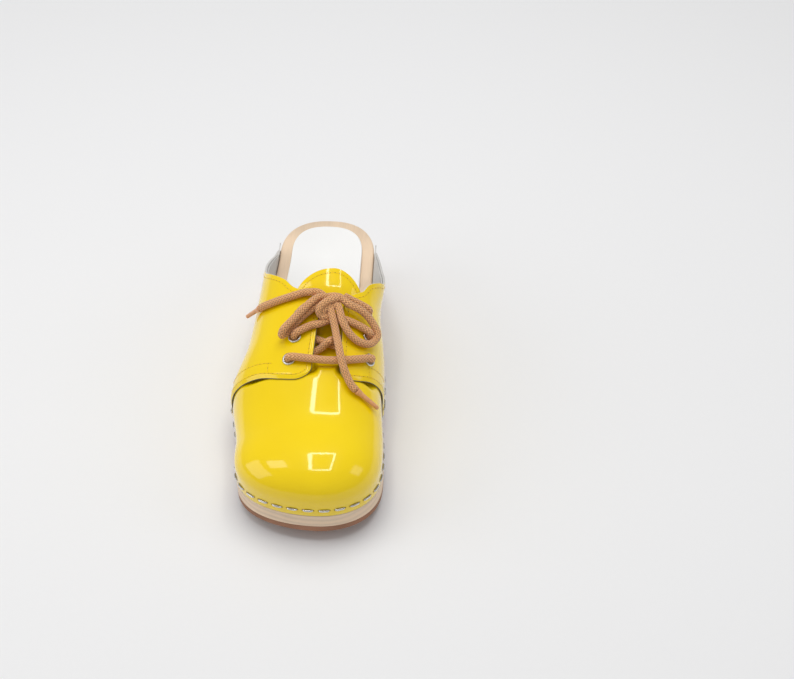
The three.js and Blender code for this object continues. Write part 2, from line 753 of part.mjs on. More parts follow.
const group = new THREE.Group();
const yellow = { color: 0xffdc00, roughness: 0.12, metalness: 0 };
const wood = { color: 0xd9b893, roughness: 0.6, metalness: 0 };
const rubber = { color: 0x91705c, roughness: 0.85, metalness: 0 };
const white = { color: 0xf4f3f0, roughness: 0.7, metalness: 0 };
const grey = { color: 0xc8c4be, roughness: 0.75, metalness: 0 };
const nickel = { color: 0xd0d0cc, roughness: 0.25, metalness: 1 };

function addPart(name, geometry, look) {
  const mesh = new THREE.Mesh(geometry, new THREE.MeshStandardMaterial(look));
  mesh.name = name;
  group.add(mesh);
  return mesh;
}

/** A solid with a list of cutters taken away. */
const drilled = (solid, cutters) => cutters.reduce((left, cutter) => left.subtract(cutter), solid);

const eyelets = eyeletFrames();
const staples = stapleFrames();
const eyeletHoles = eyelets.map(({ frame }) => eyeletHole(frame));
const legHoles = staples.flatMap(({ frame }) => stapleHoles(frame));
const liningRow = 2;

const outerTopLine = sideCutter(topLineShape(outerPeak, outerShoulder));
const innerTopLine = sideCutter(topLineShape(innerPeak, innerShoulder));
const vampCut = planCutter(vampPlan());
const behindLap = planCutter(outline([-far, lapEnd + fit], [far, lapEnd + fit], [far, 240], [-far, 240]));
const outerCut = planCutter(outerQuarterPlan()).intersect(outerTopLine);
const innerCut = planCutter(innerQuarterPlan()).intersect(innerTopLine);
const quarterSkin = upperSkin(fit, fit + leather);
const quarterLiningSkin = upperSkin(-lining, 0, liningRow).intersect(behindLap);
const vampSkin = upperSkin(-leather, 0, 0, true).intersect(vampCut);
const underVamp = -leather - fit;
const vampLiningSkin = upperSkin(underVamp - lining, underVamp, liningRow, true).intersect(vampCut);
const woodBlank = soleBody().subtract(sideCutter(undersideShape()));

addPart("wooden_sole", toGeometry(drilled(woodBlank, legHoles)), wood);
addPart("forepart_tread", toGeometry(foreTread()), rubber);
addPart("heel_tread", toGeometry(heelTread()), rubber);
addPart("insole_sock", toGeometry(insoleSock()), white);
addPart("vamp_and_tongue", toGeometry(drilled(vampSkin, legHoles)), yellow);
addPart("vamp_lining", toGeometry(vampLiningSkin), grey);
for (const [side, cut] of [["outer", outerCut], ["inner", innerCut]]) {
  const quarter = quarterSkin.intersect(cut);
  addPart(`quarter_${side}`, toGeometry(drilled(quarter, [...legHoles, ...eyeletHoles])), yellow);
  const inside = quarterLiningSkin.intersect(cut);
  addPart(`quarter_lining_${side}`, toGeometry(drilled(inside, eyeletHoles)), grey);
}
for (const { name, frame } of eyelets) addPart(name, eyeletGeometry().applyMatrix4(frame), nickel);
for (const { name, frame } of staples) addPart(name, stapleGeometry().applyMatrix4(frame), nickel);

const route = (points) => points.map((point) => new THREE.Vector3(...point));
const tan = { color: 0xd79f6a, roughness: 0.8, metalness: 0 };
const knot = new THREE.SphereGeometry(1, 16, 10);
knot.scale(...knotSize.map((size) => size / 2));
knot.rotateX(0.35);
knot.translate(...above(...knotPlace).toArray());
addPart("lace_runs", tube(laceRoute(), laceDiameter, 170), tan);
addPart("lace_knot", knot, tan);
addPart("lace_loop_outer", tube(route(outerLoop), laceDiameter, 20), tan);
addPart("lace_loop_inner", tube(route(innerLoop), laceDiameter, 22), tan);
addPart("lace_tail_outer", tube(route(outerTail), laceDiameter, 8), tan);
addPart("lace_tail_inner", tube(route(innerTail), laceDiameter, 12), tan);
addPart("aglet_outer", tube(route(outerAglet), agletDiameter, 2), tan);
addPart("aglet_inner", tube(route(innerAglet), agletDiameter, 2), tan);

group.position.set(-(toeInner - ballOuter - leather) / 2, -soleLength / 2, 0);

export default group;
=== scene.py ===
"""Laced wooden clog for the right foot, with its leather, wood, rubber, nickel and braided lace.

The clog stands on its treads at the origin, +Z up, the toe towards -Y and the inner side towards +X.
Shapes are worked out in millimetres in the shoemaker's own frame, where the second coordinate is the
station, the distance back from the toe tip, and are put in place in metres at the end.
"""

import math

import bmesh
import bpy
import numpy as np
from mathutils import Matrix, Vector


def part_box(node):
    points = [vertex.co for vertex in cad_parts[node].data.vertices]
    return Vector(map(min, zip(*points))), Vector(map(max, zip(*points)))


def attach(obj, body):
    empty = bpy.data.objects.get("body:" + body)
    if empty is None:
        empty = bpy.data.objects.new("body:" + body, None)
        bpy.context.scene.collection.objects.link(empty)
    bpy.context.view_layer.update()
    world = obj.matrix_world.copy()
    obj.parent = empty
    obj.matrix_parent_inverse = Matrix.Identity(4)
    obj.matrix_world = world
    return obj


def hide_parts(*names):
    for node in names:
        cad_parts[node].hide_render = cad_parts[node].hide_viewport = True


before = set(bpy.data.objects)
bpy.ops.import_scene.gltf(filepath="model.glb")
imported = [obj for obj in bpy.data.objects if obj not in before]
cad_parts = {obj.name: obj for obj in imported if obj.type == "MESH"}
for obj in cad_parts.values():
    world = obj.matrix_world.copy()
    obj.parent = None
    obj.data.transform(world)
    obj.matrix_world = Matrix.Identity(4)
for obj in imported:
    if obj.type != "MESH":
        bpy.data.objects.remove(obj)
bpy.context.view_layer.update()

bl_info = {
    "name": "Laced Wooden Clog",
    "version": (1, 0, 0),
    "blender": (4, 5, 0),
    "location": "View3D > Sidebar > Clog",
    "description": "Builds a stapled patent-leather clog on a wooden sole, piece by piece",
    "category": "Mesh",
}

MM = 0.001

# ------------------------------------------------------------------ sizes of the clog, in millimetres

SOLE_LENGTH = 250
TOE_STATION = 44
BALL_STATION = 90
ARCH_STATION = 120
WAIST_STATION = 155
SEAT_STATION = 190
HEEL_RADIUS = 34
HEEL_STATION = SOLE_LENGTH - HEEL_RADIUS
TOE_OUTER, TOE_INNER = 46.5, 48.5
BALL_OUTER, BALL_INNER = 53.5, 45
ARCH_OUTER, ARCH_INNER = 45, 43.5
WAIST_OUTER, WAIST_INNER = 39, 35.5
HEEL_OUTER, HEEL_INNER = 34, 34
TOE_CREST, THROAT_CREST = 9, 11
TOE_SPRING, SPRING_LENGTH = 11.6, 93
TREAD, WOOD_SHOWING, LEATHER_TURN = 4.6, 11, 12
FORE_RIM = TREAD + WOOD_SHOWING + LEATHER_TURN
ARCH_RIM, WAIST_RIM, SEAT_RIM, HEEL_RIM, BACK_RIM = 32.5, 41, 49.3, 51, 53.5
TOE_BOX, BALL_HEIGHT, INSTEP_HEIGHT, UPPER_BACK_HEIGHT = 61, 73, 89.5, 104
TREAD_LENGTH, HEEL_BREAST, ARCH_LIFT = 128, 168, 15
FOOTBED_RIM, FOOTBED_DISH, INSOLE = 7.5, 3.5, 1.4
LEATHER, LINING, FIT, SKIVED = 1.6, 0.8, 0.3, 0.9
SEAM_STATION, LAP_LENGTH = 82, 16
LAP_END = SEAM_STATION + LAP_LENGTH
THROAT_WIDTH, THROAT_SLANT, THROAT_TOP = 15, 3.6, 131
THROAT_MIDDLE = THROAT_CREST + 0.5
UPPER_END = 222
TONGUE_OUTER, TONGUE_INNER, TONGUE_END, TONGUE_ROUND, TONGUE_SINK = 29, 23, 154, 22, 7
EYELET_PITCH, EYELET_START, EYELET_STAGGER, EYELET_DRAW = 15, 9, 7, 1.5
EYELET_SETBACK = {-1: 14.8, 1: 16.8}
EYELET_BORE, EYELET_FLANGE, EYELET_WALL = 5.6, 8.8, 0.35
LACE, LACE_BEND, AGLET = 5.0, 2.8, 3.4
STAPLE_PITCH, STAPLE_CROWN, STAPLE_WIRE, STAPLE_HEIGHT = 10, 6.4, 1.1, 5.6
SIDE_STRETCH = 1.9
CROWN_RADIUS = STAPLE_WIRE * 0.66
EDGE_ROW, SECOND_ROW, TONGUE_ROW, STITCH_GAP = 3.0, 10.0, 3.2, 0.8

SOLE_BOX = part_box("wooden_sole")
SHIFT = np.array([SOLE_BOX[0][0] / MM + BALL_OUTER, SOLE_BOX[0][1] / MM, 0.0])

# Free stretches of the lace in metres: across, station and height.
OUTER_TAIL = [(-0.0002, 0.1312, 0.0945), (-0.0063, 0.1322, 0.0928), (-0.012, 0.132, 0.0907),
              (-0.0177, 0.1317, 0.0883), (-0.024, 0.1317, 0.0853), (-0.0302, 0.132, 0.0817),
              (-0.0345, 0.133, 0.0783), (-0.0372, 0.134, 0.0754)]
OUTER_AGLET = [(-0.0374, 0.1341, 0.0751), (-0.0426, 0.1364, 0.0686), (-0.048, 0.139, 0.0616)]
INNER_TAIL = [(0.0102, 0.121, 0.0941), (0.0126, 0.114, 0.0906), (0.0148, 0.107, 0.0867),
              (0.0166, 0.0996, 0.0841), (0.0182, 0.093, 0.0833), (0.0196, 0.087, 0.0816),
              (0.0216, 0.0816, 0.0776), (0.0242, 0.077, 0.073), (0.0273, 0.073, 0.0689),
              (0.0302, 0.0712, 0.0665)]
INNER_AGLET = [(0.0305, 0.07105, 0.0662), (0.0374, 0.0687, 0.0606), (0.0444, 0.0665, 0.0544)]
OUTER_LOOP = [(0.0035, 0.1215, 0.0925), (-0.0015, 0.1186, 0.0905), (-0.007, 0.115, 0.0877),
              (-0.012, 0.1106, 0.0839), (-0.0166, 0.1066, 0.0811), (-0.0196, 0.1036, 0.0814),
              (-0.0184, 0.104, 0.0861), (-0.014, 0.1078, 0.0894), (-0.0085, 0.113, 0.0925),
              (-0.003, 0.1184, 0.0954), (0.0012, 0.1226, 0.0964)]
INNER_LOOP = [(0.0169, 0.1258, 0.0956), (0.0236, 0.1216, 0.0933), (0.0315, 0.1204, 0.0888),
              (0.0384, 0.1176, 0.081), (0.042, 0.1126, 0.0748), (0.0386, 0.1064, 0.0734),
              (0.0316, 0.1028, 0.0774), (0.0246, 0.1046, 0.0832), (0.0196, 0.1104, 0.0889),
              (0.0174, 0.1166, 0.0923), (0.0158, 0.1206, 0.094)]


# ------------------------------------------------------------------ curves along the clog

def smooth_line(*points):
    """A cubic through points (station, value), level at both ends, with each inner slope the chord's."""
    knots = np.array(points, dtype=float)
    slope = np.zeros(len(knots))
    slope[1:-1] = (knots[2:, 1] - knots[:-2, 1]) / (knots[2:, 0] - knots[:-2, 0])

    def line(s):
        s = np.clip(np.asarray(s, dtype=float), knots[0, 0], knots[-1, 0])
        i = np.clip(np.searchsorted(knots[:, 0], s, side="right") - 1, 0, len(knots) - 2)
        span = knots[i + 1, 0] - knots[i, 0]
        u = (s - knots[i, 0]) / span
        start = knots[i, 1] * (1 + 2 * u) * (1 - u) ** 2 + slope[i] * span * u * (1 - u) ** 2
        end = knots[i + 1, 1] * u * u * (3 - 2 * u) + slope[i + 1] * span * u * u * (u - 1)
        return start + end

    return line


def ramp(low, high, s):
    """0 up to low, 1 from high on, and a smooth step between."""
    u = np.clip((np.asarray(s, dtype=float) - low) / (high - low), 0, 1)
    return u * u * (3 - 2 * u)


outer_edge = smooth_line((TOE_STATION, -TOE_OUTER), (BALL_STATION, -BALL_OUTER),
                         (ARCH_STATION, -ARCH_OUTER), (WAIST_STATION, -WAIST_OUTER),
                         (HEEL_STATION, -HEEL_OUTER))
inner_edge = smooth_line((TOE_STATION, TOE_INNER), (BALL_STATION, BALL_INNER), (ARCH_STATION, ARCH_INNER),
                         (WAIST_STATION, WAIST_INNER), (HEEL_STATION, HEEL_INNER))
crest = smooth_line((TOE_STATION, TOE_CREST), (BALL_STATION, THROAT_CREST), (WAIST_STATION, THROAT_CREST),
                    (HEEL_STATION, 0))
rim_base = smooth_line((BALL_STATION - 10, FORE_RIM), (ARCH_STATION, ARCH_RIM),
                       (WAIST_STATION - 5, WAIST_RIM), (SEAT_STATION, SEAT_RIM),
                       (HEEL_STATION, HEEL_RIM), (SOLE_LENGTH, BACK_RIM))
crest_height = smooth_line((TOE_STATION, TOE_BOX), (BALL_STATION, BALL_HEIGHT),
                           (THROAT_TOP + 4, INSTEP_HEIGHT), (SEAT_STATION - 5, UPPER_BACK_HEIGHT))
outer_swell = smooth_line((0, 0), (TOE_STATION, 0.03), (BALL_STATION, 0.02), (ARCH_STATION, 0.06),
                          (WAIST_STATION, 0.11), (UPPER_END, 0.16))
inner_swell = smooth_line((0, 0), (TOE_STATION, 0.03), (BALL_STATION, 0.07), (ARCH_STATION, 0.09),
                          (WAIST_STATION - 15, 0.22), (WAIST_STATION + 10, 0.55), (UPPER_END, 0.4))
arch_line = smooth_line((TREAD_LENGTH - 6, 0), (TREAD_LENGTH + 6, ARCH_LIFT * 0.25),
                        (HEEL_BREAST - 22, ARCH_LIFT), (HEEL_BREAST - 8, ARCH_LIFT * 0.7),
                        (HEEL_BREAST, 0))


def tread_low(s):
    """Height of the tread's underside: a power curve from the toe spring down to the flat."""
    return TOE_SPRING * np.clip((SPRING_LENGTH - s) / SPRING_LENGTH, 0, 1) ** 1.6


def rim_height(s):
    """Height of the wood's rim, which the leather turns down over."""
    return rim_base(s) + tread_low(s)


# ------------------------------------------------------------------ the last

# Powers of the superellipses in plan and in section, and the rows at the rim and where linings start.
TOE_ROUND, HEEL_ROUND = 1 / 1.3, 2 / 2.3
CROWN_POWER, RISE_POWER = 2 / 2.35, 2 / 2.1
TURN_SHARE, ABOVE_RIM = 0.16, 0.19

# Rows on the last: the throat lies above the first, the stitching behind the seam starts at the second
# and its second row ends at the third, which differs from side to side.
THROAT_ROW, SEWN_FROM_ROW, BAR_ROW = 0.7, 0.3, {-1: 0.7, 1: 0.62}


def rib_foot(t, reach):
    """Plan point of rib t at a share of its reach, and the stations of its foot and of its root.

    |t| from 0 to 1 fans round the toe on a superellipse; past 1 a unit is 100 mm of station.
    """
    side = np.where(t < 0, -1.0, 1.0)
    p = np.abs(t)
    angle = np.clip(p, 0, 1) * np.pi / 2
    station = TOE_STATION + np.clip(p - 1, 0, None) * 100
    fan = p < 1
    width_fan = np.where(t < 0, TOE_CREST + TOE_OUTER, TOE_INNER - TOE_CREST)
    width_side = np.where(t < 0, crest(station) - outer_edge(station), inner_edge(station) - crest(station))
    x_fan = TOE_CREST + side * width_fan * reach * np.sin(angle)
    x_side = crest(station) + side * width_side * reach
    s_fan = TOE_STATION * (1 - np.clip(reach * np.cos(angle), 0, None) ** TOE_ROUND)
    foot_fan = TOE_STATION * (1 - np.cos(angle) ** TOE_ROUND)
    return (np.where(fan, x_fan, x_side), np.where(fan, s_fan, station),
            np.where(fan, foot_fan, station), station)


def last_point(t, v):
    """Outside of the vamp at rib t and row v: v is 0 at the leather's lower edge and 1 on the crest.

    Above the rim a row is an angle: the reach is a power of its cosine with a swell at the side, and
    the height is a power of its sine.
    """
    t, v = np.broadcast_arrays(np.asarray(t, dtype=float), np.asarray(v, dtype=float))
    angle = np.clip((v - TURN_SHARE) / (1 - TURN_SHARE), 0, 1) * np.pi / 2
    one = np.ones_like(t)
    _, _, foot, root = rib_foot(t, one)
    rim = rim_height(foot)
    swell = np.where(t < 0, outer_swell(foot), inner_swell(foot))
    reach = np.clip(np.cos(angle), 0, None) ** CROWN_POWER * (1 + swell * np.sin(2 * angle))
    reach = np.where(v >= 1, 0, reach)
    x, s, _, _ = rib_foot(t, reach)
    turned = LEATHER_TURN * np.clip(1 - v / TURN_SHARE, 0, None)
    height = rim + (crest_height(root) - rim) * np.sin(angle) ** RISE_POWER - turned
    return np.stack([x, s, height], axis=-1)


def unit(vectors):
    """Vectors brought to length one."""
    return vectors / np.maximum(np.linalg.norm(vectors, axis=-1, keepdims=True), 1e-12)


def last_normal(t, v):
    """Outward unit normal at (t, v), from differences along the rib and across it."""
    t, v = np.broadcast_arrays(np.asarray(t, dtype=float), np.asarray(v, dtype=float))
    small = 1e-3
    along = last_point(t + small, v) - last_point(t - small, v)
    up = last_point(t, np.minimum(1, v + small)) - last_point(t, np.maximum(0, v - small))
    side_normal = unit(np.cross(along, up))
    station = TOE_STATION + np.clip(np.abs(t) - 1, 0, None) * 100
    slope = (crest_height(station + small) - crest_height(station - small)) / (2 * small)
    top = unit(np.stack([np.zeros_like(slope), -slope, np.ones_like(slope)], axis=-1))
    return np.where((v >= 0.999)[..., None], top, side_normal)


def side_rib(side, s):
    """Rib parameter of a station behind the toe."""
    return side * (1 + (np.asarray(s, dtype=float) - TOE_STATION) / 100)


def halving(short, low, high):
    """The rows where a test for being short of a goal turns false, between two bounds, by halving."""
    for _ in range(40):
        middle = (low + high) / 2
        more = short(middle)
        low, high = np.where(more, middle, low), np.where(more, high, middle)
    return (low + high) / 2


def row_at(side, s, x):
    """The row on a side rib whose plan point is at x."""
    s, x = np.broadcast_arrays(np.asarray(s, dtype=float), np.asarray(x, dtype=float))
    t, middle_line = side_rib(side, s), crest(s)
    goal = np.abs(x - middle_line)
    return halving(lambda v: np.abs(last_point(t, v)[..., 0] - middle_line) >= goal,
                   np.full(s.shape, TURN_SHARE), np.ones(s.shape))


def row_at_height(side, s, z):
    """The row on a side rib at height z."""
    s, z = np.broadcast_arrays(np.asarray(s, dtype=float), np.asarray(z, dtype=float))
    t = side_rib(side, s)
    return halving(lambda v: last_point(t, v)[..., 2] < z, np.zeros(s.shape), np.ones(s.shape))


def above(x, s, lift):
    """The point a lift above the last over plan position (x, station)."""
    side = -1 if x < crest(s) else 1
    t = side_rib(side, s)
    v = row_at(side, s, x)
    return last_point(t, v) + last_normal(t, v) * lift


def sink(points, v):
    """How far the tongue lies below the last, leaving the laces room under the quarters."""
    x, s = points[..., 0], points[..., 1]
    out = np.abs(x - crest(s))
    across = ramp(0.46, 0.62, v)
    middle = ramp(SEAM_STATION + 2, SEAM_STATION + 13, s)
    beside = ramp(SEAM_STATION - 2, SEAM_STATION + 5, s)
    beside = beside * ramp(THROAT_WIDTH / 2 - 3, THROAT_WIDTH / 2 + 3, out)
    recovery = 0.6 * ramp(THROAT_TOP - 5, THROAT_TOP + 15, s)
    return TONGUE_SINK * across * np.maximum(middle, beside) * (1 - recovery)


# ------------------------------------------------------------------ meshes

def place(points):
    """Millimetres in the shoemaker's frame to metres in the clog's frame."""
    return (np.asarray(points, dtype=float) + SHIFT) * MM


def grid_faces(rows, columns, close_rows=False, close_columns=False, start=0):
    """Quads of a grid of points, as an array of four indices a face."""
    i = np.arange(rows if close_rows else rows - 1)[:, None]
    j = np.arange(columns if close_columns else columns - 1)[None, :]
    i2, j2 = (i + 1) % rows, (j + 1) % columns
    quads = np.stack([i * columns + j, i2 * columns + j, i2 * columns + j2, i * columns + j2], axis=-1)
    return quads.reshape(-1, 4) + start


def new_object(name, points, faces, materials, uv=None, face_slots=None):
    """A smooth mesh object from points in metres and faces, with doubles merged."""
    mesh = bpy.data.meshes.new(name)
    faces = [list(map(int, face)) for face in faces]
    mesh.from_pydata(np.asarray(points).reshape(-1, 3).tolist(), [], faces)
    if uv is not None:
        layer = mesh.uv_layers.new(name="along")
        loops = np.zeros(len(mesh.loops), dtype=np.int32)
        mesh.loops.foreach_get("vertex_index", loops)
        layer.data.foreach_set("uv", np.asarray(uv, dtype=np.float32).reshape(-1, 2)[loops].ravel())
    if face_slots is not None:
        mesh.polygons.foreach_set("material_index", np.asarray(face_slots, dtype=np.int32))
    for finish in materials:
        mesh.materials.append(finish)
    body = bmesh.new()
    body.from_mesh(mesh)
    bmesh.ops.remove_doubles(body, verts=body.verts, dist=1e-7)
    bmesh.ops.dissolve_degenerate(body, edges=body.edges, dist=1e-8)
    body.to_mesh(mesh)
    body.free()
    mesh.polygons.foreach_set("use_smooth", np.full(len(mesh.polygons), True))
    mesh.update()
    piece = bpy.data.objects.new(name, mesh)
    bpy.context.scene.collection.objects.link(piece)
    return piece


def face_outwards(piece):
    """Turns a closed mesh's faces outwards."""
    body = bmesh.new()
    body.from_mesh(piece.data)
    bmesh.ops.recalc_face_normals(body, faces=body.faces)
    body.to_mesh(piece.data)
    body.free()


def flip_if_inward(piece, towards):
    """Flips an open sheet whose faces look against the given mean direction."""
    mesh = piece.data
    normals = np.zeros(len(mesh.polygons) * 3)
    mesh.polygons.foreach_get("normal", normals)
    if normals.reshape(-1, 3).mean(axis=0) @ np.asarray(towards) < 0:
        mesh.flip_normals()


def sharp_edges(piece, degrees):
    """Shades as sharp the edges that bend by more than an angle."""
    piece.data.set_sharp_from_angle(angle=math.radians(degrees))


def thicken(piece, thickness, rim_slot, round_edge):
    """Gives a sheet its thickness, inwards, and takes the corners off its cut edge."""
    solid = piece.modifiers.new("thickness", "SOLIDIFY")
    solid.thickness = thickness * MM
    solid.offset = -1
    solid.use_even_offset = True
    solid.material_offset_rim = rim_slot
    bevel = piece.modifiers.new("edge", "BEVEL")
    bevel.width = round_edge * MM
    bevel.segments = 2
    bevel.limit_method = "ANGLE"
    bevel.angle_limit = math.radians(55)
    return piece


def finish_piece(piece, slot, *nodes):
    """Fastens a piece to the clog and hides the nodes that it stands for; its slot is not used."""
    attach(piece, "root")
    if nodes:
        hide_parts(*nodes)
    return piece


def smooth_path(points, step):
    """A centripetal Catmull-Rom curve through points, resampled at an even step."""
    points = np.asarray(points, dtype=float)
    first = 2 * points[0] - points[1]
    last = 2 * points[-1] - points[-2]
    knots = np.vstack([first, points, last])
    gap = np.sqrt(np.linalg.norm(np.diff(knots, axis=0), axis=1))
    stretches = []
    for i in range(len(points) - 1):
        p0, p1, p2, p3 = knots[i:i + 4]
        t1, t2, t3 = np.cumsum(gap[i:i + 3])
        t = np.linspace(t1, t2, 24, endpoint=False)[:, None]
        a1 = (t1 - t) / t1 * p0 + t / t1 * p1
        a2 = (t2 - t) / (t2 - t1) * p1 + (t - t1) / (t2 - t1) * p2
        a3 = (t3 - t) / (t3 - t2) * p2 + (t - t2) / (t3 - t2) * p3
        b1 = (t2 - t) / t2 * a1 + t / t2 * a2
        b2 = (t3 - t) / (t3 - t1) * a2 + (t - t1) / (t3 - t1) * a3
        stretches.append((t2 - t) / (t2 - t1) * b1 + (t - t1) / (t2 - t1) * b2)
    dense = np.vstack(stretches + [points[-1:]])
    return even_steps(dense, step)


def distance_along(line):
    """How far each point of a line lies along it."""
    return np.concatenate([[0], np.cumsum(np.linalg.norm(np.diff(line, axis=0), axis=1))])


def values_at(places, along, values):
    """Rows of values, read off at places between the ones given along a line."""
    return np.stack([np.interp(places, along, column) for column in values.T], axis=1)


def even_steps(line, step):
    """A polyline resampled at an even step along its length."""
    along = distance_along(line)
    count = max(2, int(round(along[-1] / step)) + 1)
    return values_at(np.linspace(0, along[-1], count), along, line)


def cross_directions(line):
    """Two cross directions at each point of a line, carried along so that they don't twist."""
    tangent = unit(np.gradient(line, axis=0))
    start = np.array([0.0, 0.0, 1.0])
    if abs(tangent[0] @ start) > 0.9:
        start = np.array([1.0, 0.0, 0.0])
    side = [unit(np.cross(tangent[0], start))]
    for here in tangent[1:]:
        side.append(unit(side[-1] - (side[-1] @ here) * here))
    side = np.array(side)
    return side, np.cross(tangent, side)


def tube_grid(line, radii, sides):
    """Points of a tube, a circle carried along the line, and their (around, along) map."""
    side, up = cross_directions(line)
    angle = np.linspace(0, 2 * np.pi, sides + 1)
    radii = np.broadcast_to(np.asarray(radii, dtype=float), (len(line),))[:, None, None]
    ring = np.cos(angle)[None, :, None] * side[:, None, :] + np.sin(angle)[None, :, None] * up[:, None, :]
    points = line[:, None, :] + ring * radii
    around = np.broadcast_to(angle / (2 * np.pi), points.shape[:2])
    along = np.broadcast_to(distance_along(line)[:, None], points.shape[:2])
    return points, np.stack([around, along], axis=-1)


def round_ends(line, radius, cap):
    """A line with extra points at its ends, and radii that close it in two round caps."""
    share = np.sin(np.linspace(0, np.pi / 2, 5))
    start = line[0] - unit(line[1] - line[0]) * cap * radius
    end = line[-1] + unit(line[-1] - line[-2]) * cap * radius
    head = start + (line[0] - start) * (1 - np.cos(np.linspace(0, np.pi / 2, 5)))[:, None]
    tail = end + (line[-1] - end) * (1 - np.cos(np.linspace(0, np.pi / 2, 5)))[:, None]
    points = np.vstack([head, line[1:-1], tail[::-1]])
    radii = np.concatenate([radius * share, np.full(len(line) - 2, radius), radius * share[::-1]])
    return points, np.maximum(radii, 1e-4)


def tube_object(name, lines, radius, sides, materials, cap=0.35):
    """One object of closed tubes along lines in metres, with a map of around and along in millimetres."""
    points, faces, maps, start = [], [], [], 0
    for line in lines:
        capped, radii = round_ends(np.asarray(line) / MM, radius, cap)
        grid, uv = tube_grid(capped, radii, sides)
        points.append(grid.reshape(-1, 3) * MM)
        maps.append(uv.reshape(-1, 2))
        faces.append(grid_faces(len(capped), sides + 1, start=start))
        start += len(capped) * (sides + 1)
    piece = new_object(name, np.vstack(points), np.vstack(faces), materials, uv=np.vstack(maps))
    face_outwards(piece)
    return piece


# ------------------------------------------------------------------ materials

class Recipe:
    """A node material under construction: short calls that add nodes and link them."""

    def __init__(self, name):
        self.material = bpy.data.materials.new(name)
        self.material.use_nodes = True
        self.nodes = self.material.node_tree.nodes
        self.links = self.material.node_tree.links
        self.shader = self.nodes["Principled BSDF"]
        self.coordinates = self.nodes.new("ShaderNodeTexCoord")

    def link(self, source, target):
        """Joins an output socket to an input socket."""
        self.links.new(source, target)

    def place(self, scale, source="Object"):
        """Coordinates stretched by a scale along each axis."""
        mapping = self.nodes.new("ShaderNodeMapping")
        mapping.inputs["Scale"].default_value = scale
        self.link(self.coordinates.outputs[source], mapping.inputs["Vector"])
        return mapping.outputs["Vector"]

    def noise(self, vector, scale, detail, roughness=0.55):
        """The factor of a noise texture on the given coordinates."""
        noise = self.nodes.new("ShaderNodeTexNoise")
        noise.inputs["Scale"].default_value = scale
        noise.inputs["Detail"].default_value = detail
        noise.inputs["Roughness"].default_value = roughness
        self.link(vector, noise.inputs["Vector"])
        return noise.outputs["Fac"]

    def colours(self, factor, *stops):
        """A colour ramp of (position, colour) stops."""
        node = self.nodes.new("ShaderNodeValToRGB")
        elements = node.color_ramp.elements
        while len(elements) < len(stops):
            elements.new(0.5)
        for element, (position, colour) in zip(elements, stops):
            element.position = position
            element.color = (*colour, 1)
        self.link(factor, node.inputs["Fac"])
        return node.outputs["Color"]

    def math(self, operation, first, second=None):
        """One step of arithmetic on sockets or plain numbers."""
        node = self.nodes.new("ShaderNodeMath")
        node.operation = operation
        for socket, value in zip(node.inputs, (first, second)):
            if value is None:
                continue
            if isinstance(value, (int, float)):
                socket.default_value = value
            else:
                self.link(value, socket)
        return node.outputs[0]

    def between(self, factor, low, high):
        """A number that runs from low to high with the factor."""
        node = self.nodes.new("ShaderNodeMapRange")
        node.inputs["To Min"].default_value = low
        node.inputs["To Max"].default_value = high
        self.link(factor, node.inputs["Value"])
        return node.outputs["Result"]

    def bump(self, height, distance, strength, under=None):
        """A normal raised by a height, on top of another normal where one is given."""
        node = self.nodes.new("ShaderNodeBump")
        node.inputs["Distance"].default_value = distance
        node.inputs["Strength"].default_value = strength
        self.link(height, node.inputs["Height"])
        if under is not None:
            self.link(under, node.inputs["Normal"])
        return node.outputs["Normal"]

    def finish(self, colour, normal, roughness, **sockets):
        """Joins the colour, normal and roughness to the shader and sets its plain sockets."""
        self.link(colour, self.shader.inputs["Base Color"])
        self.link(normal, self.shader.inputs["Normal"])
        self.link(roughness, self.shader.inputs["Roughness"])
        for name, value in sockets.items():
            self.shader.inputs[name.replace("_", " ").title().replace("Ior", "IOR")].default_value = value
        return self.material


EVEN = (1, 1, 1)


def shade(colour, amount):
    """A colour made lighter or darker."""
    return tuple(min(1.0, channel * amount) for channel in colour[:3])


def patent_leather(colour):
    """Patent leather: a clear coat over leather with soft folds and a faint orange peel."""
    r = Recipe("patent_leather")
    evenly = r.place(EVEN)
    cloud = r.noise(evenly, 14, 3)
    tone = r.colours(cloud, (0.3, shade(colour, 0.93)), (0.7, shade(colour, 1.03)))
    folds = r.noise(r.place((1, 0.5, 1)), 26, 2, 0.4)
    peel = r.noise(evenly, 420, 2, 0.4)
    normal = r.bump(peel, 0.00003, 0.5, r.bump(folds, 0.0007, 0.55))
    return r.finish(tone, normal, r.between(cloud, 0.16, 0.24), coat_weight=1.0, coat_roughness=0.03,
                    specular_ior_level=0.12)


def grained(name, low, high, grain, rise, roughness, cloud=None, **sockets):
    """A plain finish: a grain that raises it and makes it rougher in places, between two tones.

    The tones follow the grain, or a wider cloud where one is given. Grain and cloud are a stretch, a
    scale and a detail, and the rise is a height in metres and its strength.
    """
    r = Recipe(name)
    fine = r.noise(r.place(grain[0]), *grain[1:])
    wide = r.noise(r.place(cloud[0]), *cloud[1:]) if cloud else fine
    tone = r.colours(wide, (0.3, low), (0.7, high))
    return r.finish(tone, r.bump(fine, *rise), r.between(fine, *roughness), **sockets)


def raw_edge():
    """The cut edge of the leather: dark fibres under the coat."""
    return grained("raw_edge", (0.10, 0.095, 0.06), (0.26, 0.25, 0.19), ((1, 1, 4), 900, 3),
                   (0.0001, 0.5), (0.65, 0.85))


def lining_leather(colour):
    """Thin matt lining leather with a fine grain."""
    return grained("lining_leather", shade(colour, 0.92), shade(colour, 1.05), (EVEN, 700, 4),
                   (0.0001, 0.5), (0.6, 0.8), cloud=(EVEN, 30, 3))


